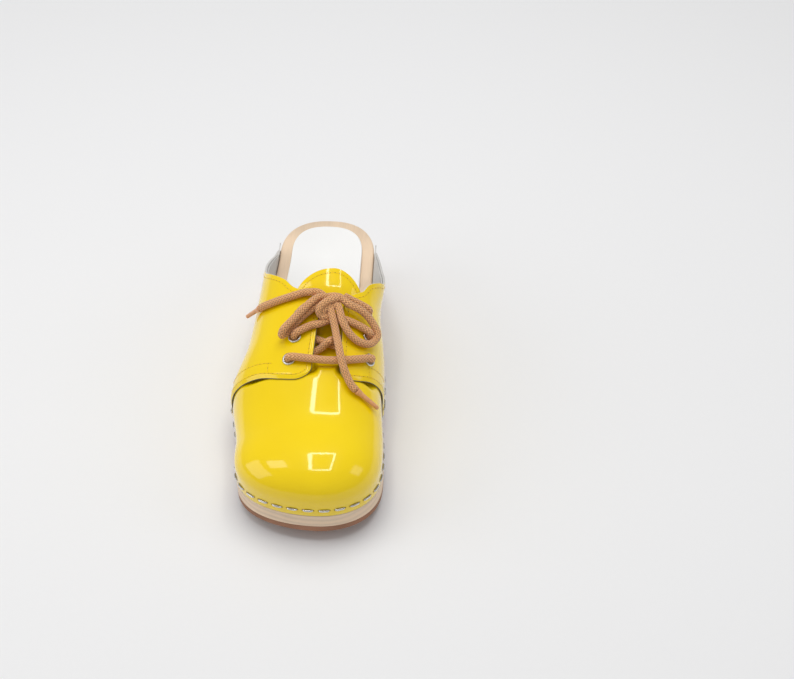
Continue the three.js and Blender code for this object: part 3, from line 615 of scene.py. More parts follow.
def insole_leather(colour):
    """White sock lining: smooth, matt, with a fine pebble and a slight cast of wear."""
    return grained("insole_leather", shade(colour, 0.965), shade(colour, 1.0), (EVEN, 520, 3),
                   (0.00008, 0.4), (0.5, 0.68), cloud=(EVEN, 18, 3))


def tread_rubber(colour):
    """Tan-brown outsole rubber, finely textured, with a trimmed and slightly scuffed side."""
    return grained("tread_rubber", shade(colour, 0.85), shade(colour, 1.12), (EVEN, 1300, 3),
                   (0.00015, 0.6), (0.6, 0.85), cloud=((1, 0.4, 1), 60, 3))


def nickel_plate(colour):
    """Nickel plating with fine handling marks."""
    return grained("nickel_plate", shade(colour, 0.88), shade(colour, 1.05), ((1, 3, 1), 900, 3),
                   (0.00002, 0.4), (0.16, 0.34), metallic=1.0)


def painted_hole_shade():
    """Painted shade: the shaded leather in a needle hole or in the slot that a staple sits in."""
    return grained("painted_hole_shade", (0.26, 0.17, 0.012), (0.4, 0.27, 0.02), (EVEN, 1200, 2),
                   (0.00003, 0.3), (0.6, 0.8))


def sewing_thread(colour):
    """Waxed thread: a twist of fine plies along each stitch."""
    return grained("sewing_thread", shade(colour, 0.78), shade(colour, 1.0), (EVEN, 2600, 2),
                   (0.0001, 0.6), (0.45, 0.65))


def tipped_lace(colour):
    """The tip: lace ends soaked and pressed smooth, streaked under a thin film."""
    return grained("tipped_lace", shade(colour, 0.75), shade(colour, 1.05), (EVEN, 700, 3),
                   (0.0001, 0.5), (0.3, 0.5), coat_weight=0.3)


def studio_floor(colour):
    """Pale seamless paper with the faintest tooth."""
    return grained("studio_floor", shade(colour, 0.995), shade(colour, 1.0), (EVEN, 300, 2),
                   (0.00002, 0.2), (0.85, 0.95), specular_ior_level=0.1)


def clog_wood(colour):
    """Pale alder: growth lines that run from toe to heel, fine pores and a satin lacquer."""
    r = Recipe("clog_wood")
    drift = r.noise(r.place((6, 1.2, 6)), 4, 3)
    lines = r.nodes.new("ShaderNodeTexWave")
    lines.wave_type = "BANDS"
    lines.bands_direction = "Z"
    lines.inputs["Scale"].default_value = 70
    lines.inputs["Distortion"].default_value = 5
    lines.inputs["Detail"].default_value = 3
    lines.inputs["Detail Scale"].default_value = 0.7
    r.link(r.place((0.6, 0.12, 1)), lines.inputs["Vector"])
    pores = r.noise(r.place((1, 0.07, 1)), 1100, 3)
    mixed = r.math("ADD", r.math("MULTIPLY", lines.outputs["Fac"], 0.3), r.math("MULTIPLY", drift, 0.45))
    mixed = r.math("ADD", mixed, r.math("MULTIPLY", pores, 0.25))
    tone = r.colours(mixed, (0.25, shade(colour, 0.8)), (0.5, shade(colour, 0.97)),
                     (0.75, shade(colour, 1.07)))
    normal = r.bump(pores, 0.00008, 0.5, r.bump(lines.outputs["Fac"], 0.00006, 0.4))
    return r.finish(tone, normal, r.between(pores, 0.42, 0.6), coat_weight=0.15, coat_roughness=0.3)


def braided_cord(colour, strands=8, pitch=9.0):
    """Round braid: two sets of strands wind opposite ways and pass over and under each other.

    Each set's height is |sin(pi (around * strands + or - along * strands / (2 pitch)))|, and the set on
    top changes from one diamond to the next. The colour follows that height too: painted shade in the
    grooves between strands and a painted highlight on their crowns.
    """
    r = Recipe("braided_cord")
    split = r.nodes.new("ShaderNodeSeparateXYZ")
    r.link(r.coordinates.outputs["UV"], split.inputs[0])
    around = r.math("MULTIPLY", split.outputs["X"], strands)
    along = r.math("MULTIPLY", split.outputs["Y"], strands / 2 / pitch)
    ridges = []
    for turn in ("ADD", "SUBTRACT"):
        phase = r.math("MULTIPLY", r.math(turn, around, along), math.pi)
        ridges.append((r.math("ABSOLUTE", r.math("SINE", phase)), r.math("COSINE", phase)))
    (first, first_side), (second, second_side) = ridges
    swap = r.math("GREATER_THAN", r.math("MULTIPLY", first_side, second_side), 0)
    height = r.math("ADD", r.math("MULTIPLY", first, swap),
                    r.math("MULTIPLY", second, r.math("SUBTRACT", 1, swap)))
    fibre = r.noise(r.place(EVEN), 2400, 3)
    mixed = r.math("ADD", r.math("MULTIPLY", height, 0.8), r.math("MULTIPLY", fibre, 0.2))
    # Painted shade and highlight: the grooves darken to 0.3 of the lace colour, the strand crowns lighten
    # to 1.35.
    tone = r.colours(mixed, (0.1, shade(colour, 0.3)), (0.45, shade(colour, 0.85)),
                     (0.9, shade(colour, 1.35)))
    normal = r.bump(fibre, 0.00008, 0.4, r.bump(height, 0.0006, 0.9))
    return r.finish(tone, normal, r.between(fibre, 0.62, 0.82), sheen_weight=0.25)


MATERIALS = {}


def material(name):
    """The named finish, made once from the colours in the sidebar."""
    look = bpy.context.scene.clog_finish
    makers = {
        "patent": lambda: patent_leather(look.leather), "edge": raw_edge,
        "lining": lambda: lining_leather(look.lining), "insole": lambda: insole_leather(look.insole),
        "wood": lambda: clog_wood(look.wood), "rubber": lambda: tread_rubber(look.rubber),
        # The dark hole finish is painted shade for needle holes and staple slots.
        "nickel": lambda: nickel_plate(look.metal), "hole_shade": painted_hole_shade,
        "thread": lambda: sewing_thread(look.thread), "braid": lambda: braided_cord(look.lace),
        "tip": lambda: tipped_lace(look.lace), "floor": lambda: studio_floor(look.floor),
    }
    if name not in MATERIALS:
        MATERIALS[name] = makers[name]()
    return MATERIALS[name]


# ------------------------------------------------------------------ wooden sole and treads

def sole_plan(toe_steps=40, side_step=2.0, heel_steps=28):
    """Stations from toe to heel with the outer and inner edge at each: superellipses at both ends."""
    angle = np.linspace(0, np.pi / 2, toe_steps + 1)
    s_toe = TOE_STATION * (1 - np.cos(angle) ** TOE_ROUND)
    x_out_toe = TOE_CREST - (TOE_CREST + TOE_OUTER) * np.sin(angle)
    x_in_toe = TOE_CREST + (TOE_INNER - TOE_CREST) * np.sin(angle)
    s_side = np.arange(TOE_STATION + side_step, HEEL_STATION - 0.5, side_step)
    angle = np.linspace(0, np.pi / 2, heel_steps + 1)
    s_heel = HEEL_STATION + HEEL_RADIUS * np.sin(angle) ** HEEL_ROUND
    across = np.clip(np.cos(angle), 0, None) ** HEEL_ROUND
    stations = np.concatenate([s_toe, s_side, s_heel])
    outer = np.concatenate([x_out_toe, outer_edge(s_side), -HEEL_OUTER * across])
    inner = np.concatenate([x_in_toe, inner_edge(s_side), HEEL_INNER * across])
    return stations, outer, inner


def sole_ring():
    """Edge points round the plan with their inward directions and their place on the middle line."""
    s, outer, inner = sole_plan()
    x = np.concatenate([inner, outer[-2:0:-1]])
    stations = np.concatenate([s, s[-2:0:-1]])
    before = np.stack([np.roll(x, 1), np.roll(stations, 1)], axis=1)
    after = np.stack([np.roll(x, -1), np.roll(stations, -1)], axis=1)
    ahead = unit(after - before)
    inward = np.stack([-ahead[:, 1], ahead[:, 0]], axis=1)
    middle_s = np.clip(stations, TOE_STATION, HEEL_STATION)
    middle_x = np.where(stations < TOE_STATION, TOE_CREST, crest(middle_s))
    return x, stations, inward, middle_x, middle_s


def wood_under(s):
    """Underside of the wood: on the tread, and lifted in an arch under the waist."""
    return TREAD + FIT + tread_low(s) + arch_line(s)


def bed(ring, share, lift=0.0, margin=0.0):
    """The footbed at a share of the way in to the middle line: the rim's height less a dish in sine."""
    x, s, inward, middle_x, middle_s = ring
    start = np.stack([x, s], axis=1) + inward * (FOOTBED_RIM + margin)
    plan = start + (np.stack([middle_x, middle_s], axis=1) - start) * share
    height = rim_height(s) + (rim_height(middle_s) - rim_height(s)) * share
    height = height - FOOTBED_DISH * np.sin(share * np.pi / 2) + lift
    return np.column_stack([plan, height])


def ring_rows(ring, rows):
    """Rows of points round the plan, each from an inset and a height."""
    x, s, inward, _, _ = ring
    out = []
    for depth, height in rows:
        depth = np.broadcast_to(depth, x.shape)
        plan = np.stack([x, s], axis=1) + inward * depth[:, None]
        out.append(np.column_stack([plan, np.broadcast_to(height, x.shape)]))
    return out


def bottom_grid(stations, outer, inner, height, columns=24):
    """Straight rows across between the two edges, at the height that each station has."""
    share = np.linspace(0, 1, columns)[None, :]
    x = outer[:, None] + (inner - outer)[:, None] * share
    s = np.broadcast_to(stations[:, None], x.shape)
    return np.stack([x, s, np.broadcast_to(height[:, None], x.shape)], axis=-1)


def wooden_sole():
    """Walls and footbed as rows round the plan, closed by the underside between the lowest row's edges."""
    ring = sole_ring()
    s = ring[1]
    low = wood_under(s)
    turn = rim_height(s) - LEATHER_TURN - FIT
    rabbet = (LEATHER + FIT) * (1 - ramp(LAP_END, LAP_END + 4, s))
    rim = rim_height(s)
    # Up the wall to the ledge under the leather, in over the ledge, up again and over the rounded rim.
    rows = [(0.0, low), (0.0, low + 0.4)]
    rows += [(0.0, low + 0.4 + (turn - 0.9 - low) * share) for share in np.linspace(0.12, 1, 8)]
    rows += [(0.12 * (rabbet > 0.5), turn - 0.2), (0.5 * (rabbet > 0.5), turn), (rabbet, turn)]
    rows += [(rabbet, turn + (rim - 1.6 - turn) * share) for share in (0.25, 0.5, 0.75, 1)]
    rows += [(rabbet + 0.35, rim - 0.65), (rabbet + 1.1, rim - 0.15), (rabbet + 2, rim), (5.5, rim)]
    layers = ring_rows(ring, rows)
    layers += [bed(ring, share) for share in (0, 0.04, 0.1, 0.2, 0.32, 0.45, 0.6, 0.75, 0.9, 1)]
    top = np.stack(layers, axis=1)
    stations, outer, inner = sole_plan()
    under = bottom_grid(stations, outer, inner, wood_under(stations))
    faces_top = grid_faces(*top.shape[:2], close_rows=True)
    faces_under = grid_faces(*under.shape[:2], start=top.shape[0] * top.shape[1])
    points = np.vstack([top.reshape(-1, 3), under.reshape(-1, 3)])
    piece = new_object("clog_sole", place(points), np.vstack([faces_top, faces_under]), [material("wood")])
    face_outwards(piece)
    sharp_edges(piece, 42)
    return piece


def tread(name, first, last, low_line):
    """A tread as a loft: at each station a flat strip with rounded edges, closed at both ends."""
    stations, outer, inner = sole_plan()
    kept = (stations > first) & (stations < last)
    s = np.unique(np.concatenate([[first], stations[kept], [last]]))
    x_out, x_in = np.interp(s, stations, outer), np.interp(s, stations, inner)
    low, high = low_line(s), low_line(s) + TREAD
    corner = 0.7
    width = np.maximum(x_in - x_out, 1e-3)
    small = np.minimum(corner, width / 2.2)
    under = [(x_out + small + (width - 2 * small) * share, low) for share in np.linspace(0, 1, 30)]
    side_in = [(x_in - small * 0.3, low + corner * 0.3), (x_in, low + corner), (x_in, high - 0.3)]
    top = [(x_in - small * 0.4, high), (x_out + small * 0.4, high)]
    side_out = [(x_out, high - 0.3), (x_out, low + corner), (x_out + small * 0.3, low + corner * 0.3)]
    loop = under + side_in + top + side_out
    lines = [np.stack([x, s, np.broadcast_to(z, s.shape)], axis=-1) for x, z in loop]
    points = np.stack(lines, axis=1)
    faces = [list(face) for face in grid_faces(*points.shape[:2], close_columns=True)]
    count = points.shape[1]
    faces.append(list(range(count)))
    faces.append([points.shape[0] * count - 1 - k for k in range(count)])
    piece = new_object(name, place(points), faces, [material("rubber")])
    face_outwards(piece)
    sharp_edges(piece, 40)
    return piece


def insole_sock():
    """A thin sheet in the footbed: rows from its underside over a rounded edge to its top."""
    ring = sole_ring()
    seat = FIT + 0.1
    shares = (1, 0.9, 0.75, 0.6, 0.45, 0.3, 0.15, 0.04)
    layers = [bed(ring, share, seat, 1.5) for share in shares]
    layers += [bed(ring, 0.005, seat + 0.1, 1.4), bed(ring, 0, seat + INSOLE * 0.5, 1.2)]
    layers += [bed(ring, 0.005, seat + INSOLE * 0.9, 1.4), bed(ring, 0.02, seat + INSOLE, 1.5)]
    layers += [bed(ring, share, seat + INSOLE, 1.5) for share in shares[::-1]]
    points = np.stack(layers, axis=1)
    piece = new_object("clog_insole", place(points), grid_faces(*points.shape[:2], close_rows=True),
                       [material("insole")])
    face_outwards(piece)
    return piece


# ------------------------------------------------------------------ leather upper

def tongue_half(side, s):
    """Half width of the tongue at a station: straight, then a quarter of an ellipse to its end."""
    u = np.clip((s - (TONGUE_END - TONGUE_ROUND)) / TONGUE_ROUND, 0, 1)
    return (TONGUE_OUTER if side < 0 else TONGUE_INNER) * np.sqrt(1 - u * u)


def skin(t, v, offset, sinks):
    """Points at an offset from the last, let down where the tongue lies lower."""
    points = last_point(t, v)
    drop = sink(points, v) if sinks else 0.0
    return points + last_normal(t, v) * (offset - np.asarray(drop))[..., None]


def vamp_sheet(name, offset, low_row, finish):
    """The vamp from one lap round the toe to the other, and the tongue that runs back from it.

    Ribs fan round the toe and stand side by side behind it. The tongue's rows start at its edge, so the
    two grids share their points at the lap.
    """
    edge_row = {side: float(row_at(side, LAP_END, crest(LAP_END) + side * tongue_half(side, LAP_END)))
                for side in (-1, 1)}
    back = float(side_rib(1, LAP_END))
    fan = np.linspace(0, 1, 45)[1:]
    sides = np.linspace(1, back, 34)[1:]
    half = np.concatenate([fan, sides])
    t = np.concatenate([-half[::-1], [0], half])
    blend = (np.clip(t, -1, 1) + 1) / 2
    turn = edge_row[-1] + (edge_row[1] - edge_row[-1]) * blend
    low = np.linspace(0, 1, 22)[None, :-1]
    high = np.linspace(0, 1, 40)[None, :]
    turn = turn[:, None]
    rows = np.hstack([low_row + (turn - low_row) * low, turn + (1 - turn) * high])
    grid = skin(np.broadcast_to(t[:, None], rows.shape), rows, offset, True)
    points = [grid.reshape(-1, 3)]
    faces = [grid_faces(*grid.shape[:2])]
    start = grid.shape[0] * grid.shape[1]
    straight = np.linspace(LAP_END, TONGUE_END - TONGUE_ROUND, 20)[:-1]
    rounded = TONGUE_END - TONGUE_ROUND + TONGUE_ROUND * np.sin(np.linspace(0, np.pi / 2, 24))
    stations = np.concatenate([straight, rounded])
    for side in (-1, 1):
        edge = row_at(side, stations, crest(stations) + side * tongue_half(side, stations))
        edge[-1] = 1
        rows = edge[:, None] + (1 - edge[:, None]) * high
        ribs = np.broadcast_to(side_rib(side, stations)[:, None], rows.shape)
        grid = skin(ribs, rows, offset, True)
        if side < 0:
            grid = grid[::-1]
        points.append(grid.reshape(-1, 3))
        faces.append(grid_faces(*grid.shape[:2], start=start))
        start += grid.shape[0] * grid.shape[1]
    piece = new_object(name, place(np.vstack(points)), np.vstack(faces),
                       [material(finish), material("edge")])
    flip_if_inward(piece, (0, -0.3, 1))
    return piece


def throat_edge(side, s):
    """Across position of the throat's edge: straight back on the inner side, slanting on the outer."""
    slant = THROAT_SLANT * (THROAT_TOP - s) / (THROAT_TOP - SEAM_STATION) if side < 0 else 0
    return THROAT_MIDDLE + side * THROAT_WIDTH / 2 - slant


# Control points of the outer (-1) and the inner (1) quarter. The seam, its corner and the turn at the
# throat's top are in plan as (x, station), and the top line behind them is (station, height).
QUARTERS = {
    -1: {"seam": [(-33, 82.5), (-19, 79), (-7, 78)], "foot": 86, "corner": (-0.1, 82),
         "turn": [(1.9, 130), (-4, 135), (-15, 142)],
         "top": [(149, 87), (159, 82), (167, 76), (187, 67)]},
    1: {"seam": [(38, 84), (30, 80), (22.5, 79)], "foot": 92, "corner": (19.3, 83),
        "turn": [(20, 131), (24, 136), (30, 142)],
        "top": [(149, 84), (157, 79), (163, 73), (183, 64)]},
}


def quarter_edge(side):
    """The quarter's front and upper edge in (station, row), from the foot of the seam round to its end.

    It is a smooth path through the control points, with a row counted as 100 mm.
    """
    plan = QUARTERS[side]
    points = [(plan["foot"], 0.0), (plan["foot"], TURN_SHARE * 0.9)]
    points += [(s, float(row_at(side, s, x))) for x, s in plan["seam"]]
    x, s = plan["corner"]
    points.append((s, float(row_at(side, s, x))))
    throat_stations = np.linspace(SEAM_STATION + 8, THROAT_TOP - 8, 4)
    points += [(s, float(row_at(side, s, throat_edge(side, s)))) for s in throat_stations]
    points += [(s, float(row_at(side, s, x))) for x, s in plan["turn"]]
    points += [(s, float(row_at_height(side, s, z))) for s, z in plan["top"]]
    for s, over in ((UPPER_END - 16, 6), (UPPER_END - 3, -1), (UPPER_END, -LEATHER_TURN)):
        points.append((s, float(row_at_height(side, s, rim_height(s) + over))))
    line = np.array(points) * (1, 100)
    return smooth_path(line, 0.5) / (1, 100)


def patch_corner(edge):
    """Index of the edge point that lies on the round between the seam and the throat."""
    low_down = edge[:, 1] < THROAT_ROW
    return int(np.argmin(np.abs(edge[:, 0] - SEAM_STATION + 2) + 100 * low_down))


def quarter_grid(side, columns=150, rows=56, margin=0.0, low_row=0.0, front=None):
    """Ribs and rows of a quarter or its lining in a patch between its edge and its foot.

    Straight lines in (station, row) run from the foot up to the edge, and near the seam they bend to
    follow it. The patch's corner lies on the round of the seam, where the edge has no corner.
    """
    edge = quarter_edge(side)
    corner = patch_corner(edge)
    seam, top = edge[:corner + 1], edge[corner:]
    if front is not None:
        start = int(np.argmax(top[:, 0] >= front))
        top = top[start:]
        seam = np.array([(front, low_row), (front, top[0, 1])])
    t = side_rib(side, top[:, 0])
    along = distance_along(last_point(t, top[:, 1]))
    s_top, v_top = values_at(np.linspace(0, along[-1], columns), along, top).T
    v_top = np.maximum(v_top - margin / 100, low_row)
    progress = (s_top - s_top[0]) / (s_top[-1] - s_top[0])
    s_foot = seam[0, 0] + (UPPER_END - seam[0, 0]) * progress
    b = np.linspace(0, 1, rows)[None, :]
    v = low_row + (v_top[:, None] - low_row) * b
    s = s_foot[:, None] + (s_top - s_foot)[:, None] * b
    seam_s = np.interp(v[0], seam[:, 1], seam[:, 0])
    bend = (1 - np.linspace(0, 1, columns)[:, None]) ** 8
    s = s + (seam_s - s[0])[None, :] * bend
    return side_rib(side, s), v


# Section of a shell's rim: how deep between the two faces, and how far out.
RIM_SECTION = ((0, 0), (0.15, 0.22), (0.5, 0.3), (0.85, 0.22), (1, 0))


def shell(name, outer, inner, finish, edge_finish, raw_columns=0):
    """A closed shell of two grids and a rounded rim; behind the raw columns the upper rim is lined."""
    rows, columns = outer.shape[:2]
    points, faces, slots = [outer.reshape(-1, 3), inner.reshape(-1, 3)], [], []
    faces_outer = grid_faces(rows, columns)
    faces_inner = grid_faces(rows, columns, start=rows * columns)[:, ::-1]
    faces += [faces_outer, faces_inner]
    slots += [np.zeros(len(faces_outer)), np.full(len(faces_inner), 2)]
    start = 2 * rows * columns
    edges = [(outer[:, -1], inner[:, -1], outer[:, -2]), (outer[:, 0], inner[:, 0], outer[:, 1]),
             (outer[0], inner[0], outer[1]), (outer[-1], inner[-1], outer[-2])]
    for number, (high, low, beside) in enumerate(edges):
        away = unit(high - beside)
        lines = [high + (low - high) * depth + away * out for depth, out in RIM_SECTION]
        strip = np.stack(lines, axis=1)
        points.append(strip.reshape(-1, 3))
        strip_faces = grid_faces(*strip.shape[:2], start=start)
        faces.append(strip_faces)
        slot = np.ones(len(strip_faces))
        if number == 0 and raw_columns:
            slot[raw_columns * (len(RIM_SECTION) - 1):] = 2
        slots.append(slot)
        start += strip.shape[0] * strip.shape[1]
    finishes = [material(finish), material(edge_finish), material("lining")]
    piece = new_object(name, place(np.vstack(points)), np.vstack(faces), finishes,
                       face_slots=np.concatenate(slots))
    face_outwards(piece)
    return piece


def quarter(side, name):
    """A quarter: leather over the vamp, pared thin along its front edge."""
    ribs, rows = quarter_grid(side)
    stations = TOE_STATION + (np.abs(ribs) - 1) * 100
    skived = SKIVED * (1 - ramp(0, 2.4, stations - stations[0]))
    outer = skin(ribs, rows, FIT + LEATHER - skived, False)
    inner = skin(ribs, rows, FIT, False)
    throat_columns = int(np.argmax(stations[:, -1] > THROAT_TOP - 1))
    return shell(name, outer, inner, "patent", "edge", throat_columns)


def quarter_lining(side, name):
    """A quarter's lining, from the lap's end back and from just above the wood up."""
    ribs, rows = quarter_grid(side, 90, 30, 0.6, ABOVE_RIM, LAP_END + FIT)
    outer = skin(ribs, rows, 0.0, False)
    inner = skin(ribs, rows, -LINING, False)
    return shell(name, outer, inner, "lining", "lining")


# ------------------------------------------------------------------ stitching

def beads(centres, ahead, normals, half_length, half_width, half_height, around=8, along=5):
    """One small closed ellipsoid a place, turned to its direction and normal, as points and faces."""
    u = np.linspace(0, np.pi, along + 1)
    w = np.linspace(0, 2 * np.pi, around, endpoint=False)
    x = np.broadcast_to(np.cos(u)[:, None] * half_length, (along + 1, around))
    y = np.sin(u)[:, None] * np.cos(w)[None, :] * half_width
    z = np.sin(u)[:, None] * np.sin(w)[None, :] * half_height
    across = np.cross(normals, ahead)
    local = np.stack([x, y, z], axis=-1).reshape(1, -1, 3)
    axes = [direction[:, None, :] for direction in (ahead, across, normals)]
    points = centres[:, None, :] + sum(local[..., k:k + 1] * axes[k] for k in range(3))
    single = grid_faces(along + 1, around, close_columns=True)
    count = local.shape[1]
    faces = single[None, :, :] + (np.arange(len(centres)) * count)[:, None, None]
    return points.reshape(-1, 3), faces.reshape(-1, 4)


def on_last(side, points):
    """Points brought back on the upper at their own station: by height on the side, by plan on top."""
    s = points[:, 1]
    by_height = row_at_height(side, s, points[:, 2])
    by_plan = row_at(side, s, points[:, 0])
    v = np.where(by_height > 0.72, by_plan, by_height)
    t = side_rib(side, s)
    return last_point(t, v), last_normal(t, v)


def inset_line(side, edge, distance):
    """A line on the upper, parallel to an edge in (station, row) and a distance inside it."""
    t = side_rib(side, edge[:, 0])
    points, normals = last_point(t, edge[:, 1]), last_normal(t, edge[:, 1])
    ahead = unit(np.gradient(points, axis=0))
    inward = np.cross(normals, ahead) * side * -1
    return on_last(side, points + inward * distance)


def stitches(line, normals, offset, pitch, width):
    """Stitches along a line at an even pitch, and between them dark beads: painted shade in needle holes.
    """
    along = distance_along(line)

    def at(places, lift):
        normal = unit(values_at(places, along, normals))
        ahead = unit(values_at(places + 0.5, along, line) - values_at(places - 0.5, along, line))
        ahead = unit(ahead - (ahead * normal).sum(axis=1)[:, None] * normal)
        return values_at(places, along, line) + normal * (offset + lift), ahead, normal

    length = pitch - STITCH_GAP
    threads = at(np.arange(pitch / 2, along[-1], pitch), 0.05)
    # Dark beads between the stitches: painted shade in the needle holes.
    hole_shades = at(np.arange(pitch, along[-1], pitch), 0.02)
    return beads(*threads, length / 2, width / 2, 0.2), beads(*hole_shades, 0.34, 0.3, 0.1, 8, 4)


def join_beads(name, groups, finish):
    """One object of several groups of beads."""
    points, faces, start = [], [], 0
    for group_points, group_faces in groups:
        points.append(group_points)
        faces.append(group_faces + start)
        start += len(group_points)
    piece = new_object(name, place(np.vstack(points)), np.vstack(faces), [material(finish)])
    face_outwards(piece)
    return piece


def stitched_lines():
    """Every row of stitching as (line, normals, offset).

    Each quarter has a row along its whole edge, a second row behind the seam, and a short bar that joins
    the two where the second row ends. The tongue has one row round its end.
    """
    lines = []
    top = FIT + LEATHER
    for side in (-1, 1):
        edge = quarter_edge(side)
        seam_start = int(np.argmax(edge[:, 1] > SEWN_FROM_ROW))
        behind_corner = np.arange(len(edge)) > patch_corner(edge)
        end = int(np.argmax((edge[:, 0] > UPPER_END - 14) & behind_corner))
        bar = int(np.argmax(edge[:, 1] > BAR_ROW[side]))
        lines.append((*inset_line(side, edge[seam_start:end], EDGE_ROW), top))
        lines.append((*inset_line(side, edge[seam_start:bar], SECOND_ROW), top))
        t = side_rib(side, edge[bar, 0] + np.linspace(EDGE_ROW + 0.5, SECOND_ROW - 0.5, 8))
        v = edge[bar, 1]
        lines.append((last_point(t, v), last_normal(t, v), top))
    start = TONGUE_END - TONGUE_ROUND
    depth = TONGUE_ROUND - TONGUE_ROW
    s = np.concatenate([np.linspace(THROAT_TOP - 5, start, 12)[:-1],
                        start + depth * np.sin(np.linspace(0, np.pi / 2, 60))])
    u = np.clip((s - start) / depth, 0, 1)
    halves = []
    for side, half in ((-1, TONGUE_OUTER), (1, TONGUE_INNER)):
        x = crest(s) + side * (half - TONGUE_ROW) * np.sqrt(np.clip(1 - u * u, 0, 1))
        v = row_at(side, s, x)
        v[-1] = 1
        t = side_rib(side, s)
        points, normals = skin(t, v, 0.0, True), last_normal(t, v)
        halves.append((points, normals))
    line, normals = (np.vstack([outer, inner[::-1][1:]]) for outer, inner in zip(*halves))
    lines.append((line, normals, 0.0))
    return lines


# ------------------------------------------------------------------ eyelets and staples

def frame_on(t, v, offset):
    """A frame on the last: along the clog, across it and outwards, at an offset."""
    small = 1e-3
    normal = last_normal(t, v)
    along = last_point(t + small, v) - last_point(t - small, v)
    along = unit(along - (along @ normal) * normal)
    return last_point(t, v) + normal * offset, along, np.cross(normal, along), normal


def eyelet_frames():
    """Frames of the three eyelets in each quarter, those of the inner quarter a little further back."""
    frames = {}
    for name, side, back in (("outer", -1, 0), ("inner", 1, EYELET_STAGGER)):
        for row in range(3):
            s = SEAM_STATION + EYELET_START + EYELET_PITCH * row + back
            x = throat_edge(side, s) + side * (EYELET_SETBACK[side] - EYELET_DRAW * row)
            t = float(side_rib(side, s))
            frames[f"{name}_{row + 1}"] = frame_on(t, float(row_at(side, s, x)), FIT + LEATHER)
    return frames


def eyelet(name, place_frame):
    """A rolled eyelet: a closed profile of arcs turned about its axis."""
    bore, flange = EYELET_BORE / 2, EYELET_FLANGE / 2
    tail = -(LEATHER + FIT + LINING) - 0.1
    roll = np.linspace(np.pi, 0, 14)
    centre, half = (bore + flange) / 2, (flange - bore) / 2
    dome = [(centre + half * math.cos(a), 0.25 + 0.85 * math.sin(a) ** 0.8) for a in roll]
    inside = [(bore + EYELET_WALL, 0.2), (bore + EYELET_WALL, tail)]
    curl = [(bore + 0.9, tail - 0.05), (bore + 0.75, tail - 0.33), (bore + 0.3, tail - 0.35),
            (bore, tail - 0.15)]
    wall = [(bore, share * 0.25 + (1 - share) * tail) for share in (0.25, 0.5, 0.75)]
    profile = np.array(dome + inside + curl + wall)
    angle = np.linspace(0, 2 * np.pi, 48, endpoint=False)
    origin, along, across, normal = place_frame
    radial = np.cos(angle)[:, None] * along + np.sin(angle)[:, None] * across
    points = origin + profile[None, :, 0:1] * radial[:, None, :] + profile[None, :, 1:2] * normal
    piece = new_object(name, place(points), grid_faces(48, len(profile), True, True), [material("nickel")])
    face_outwards(piece)
    sharp_edges(piece, 50)
    return piece


def staple_ribs(side):
    """Rib parameters a pitch apart round the lower edge, from the toe back on one side."""
    t = np.arange(0.002, 1 + (UPPER_END - STAPLE_CROWN - TOE_STATION) / 100, 0.002)
    x, s, _, _ = rib_foot(side * t, np.ones_like(t))
    x0, s0, _, _ = rib_foot(side * (t - 0.002), np.ones_like(t))
    steps = np.hypot(x - x0, s - s0)
    ribs, travelled = [], -STAPLE_PITCH / 2
    for value, station, step in zip(t, s, steps):
        travelled += step
        if travelled >= 0:
            ribs.append(side * value)
            travelled -= STAPLE_PITCH if station < TOE_STATION else STAPLE_PITCH * SIDE_STRETCH
    return ribs


def staple_frames():
    """Frames of the numbered staples, and of those between them on the sides."""
    ribs = staple_ribs(-1)[::-1] + staple_ribs(1)
    row = TURN_SHARE * STAPLE_HEIGHT / LEATHER_TURN
    # Neighbours that both stand on the same side wall, clear of the toe.
    pairs = [(a, b) for a, b in zip(ribs, ribs[1:]) if a * b > 1.2 and min(abs(a), abs(b)) > 1]
    between = [(a + b) / 2 for a, b in pairs]

    def frame_at(t):
        station = TOE_STATION + (abs(t) - 1) * 100 if abs(t) > 1 else 0
        front = QUARTERS[-1 if t < 0 else 1]["foot"] + 0.5
        clear = STAPLE_CROWN / 2 + 1
        on_quarter = station > front - clear
        if on_quarter:
            t = math.copysign(1 + (max(station, front + clear) - TOE_STATION) / 100, t)
        return frame_on(t, row, FIT + LEATHER if on_quarter else 0.0)

    return [frame_at(t) for t in ribs], [frame_at(t) for t in between]


def staple_line(place_frame):
    """A staple's wire in metres: out of the wood, round a bend, along the crown and back in."""
    origin, along, _, normal = place_frame
    half, bend = (STAPLE_CROWN - STAPLE_WIRE) / 2, 0.8
    turn = np.linspace(0, np.pi / 2, 5)
    left = [(-half + bend - bend * math.cos(a), 0.4 - bend + bend * math.sin(a)) for a in turn]
    right = [(-x, z) for x, z in left[::-1]]
    outline = [(-half, -2.2)] + left + right + [(half, -2.2)]
    return place(np.array([origin + along * x + normal * z for x, z in outline]))


def staple_slot_shade_beads(frames):
    """A flat dark ellipsoid under each crown: painted shade of the slot that it presses into the leather.
    """
    centres = np.array([origin + normal * 0.02 for origin, _, _, normal in frames])
    ahead = np.array([along for _, along, _, _ in frames])
    normals = np.array([normal for _, _, _, normal in frames])
    return beads(centres, ahead, normals, STAPLE_CROWN / 2 + 0.9, 1.25, 0.16, 12, 10)


# ------------------------------------------------------------------ lace

ON_QUARTER = FIT + LEATHER + FIT + LACE / 2
UNDER_QUARTER = -(LINING + FIT + LACE / 2)
LOW_CROSSING, HIGH_CROSSING = 20.5, 34.5


def through(place_frame, before, after):
    """Points through an eyelet from its face to its back, turning from and towards two points."""
    origin, along, across, normal = place_frame

    def heading(target):
        flat = target - origin
        return unit(along * (flat @ along) + across * (flat @ across))

    def turn(direction, start, side):
        points = []
        for share in (1, 0.5, 0.15, 0):
            angle = share * math.pi / 2
            out, rise = LACE_BEND * (1 - math.cos(angle)), start + side * LACE_BEND * math.sin(angle)
            points.append(origin + direction * out + normal * rise)
        return points

    back = -(LEATHER + FIT + LINING) - 0.6
    return turn(heading(before), 1.2, 1) + turn(heading(after), back, -1)[::-1]


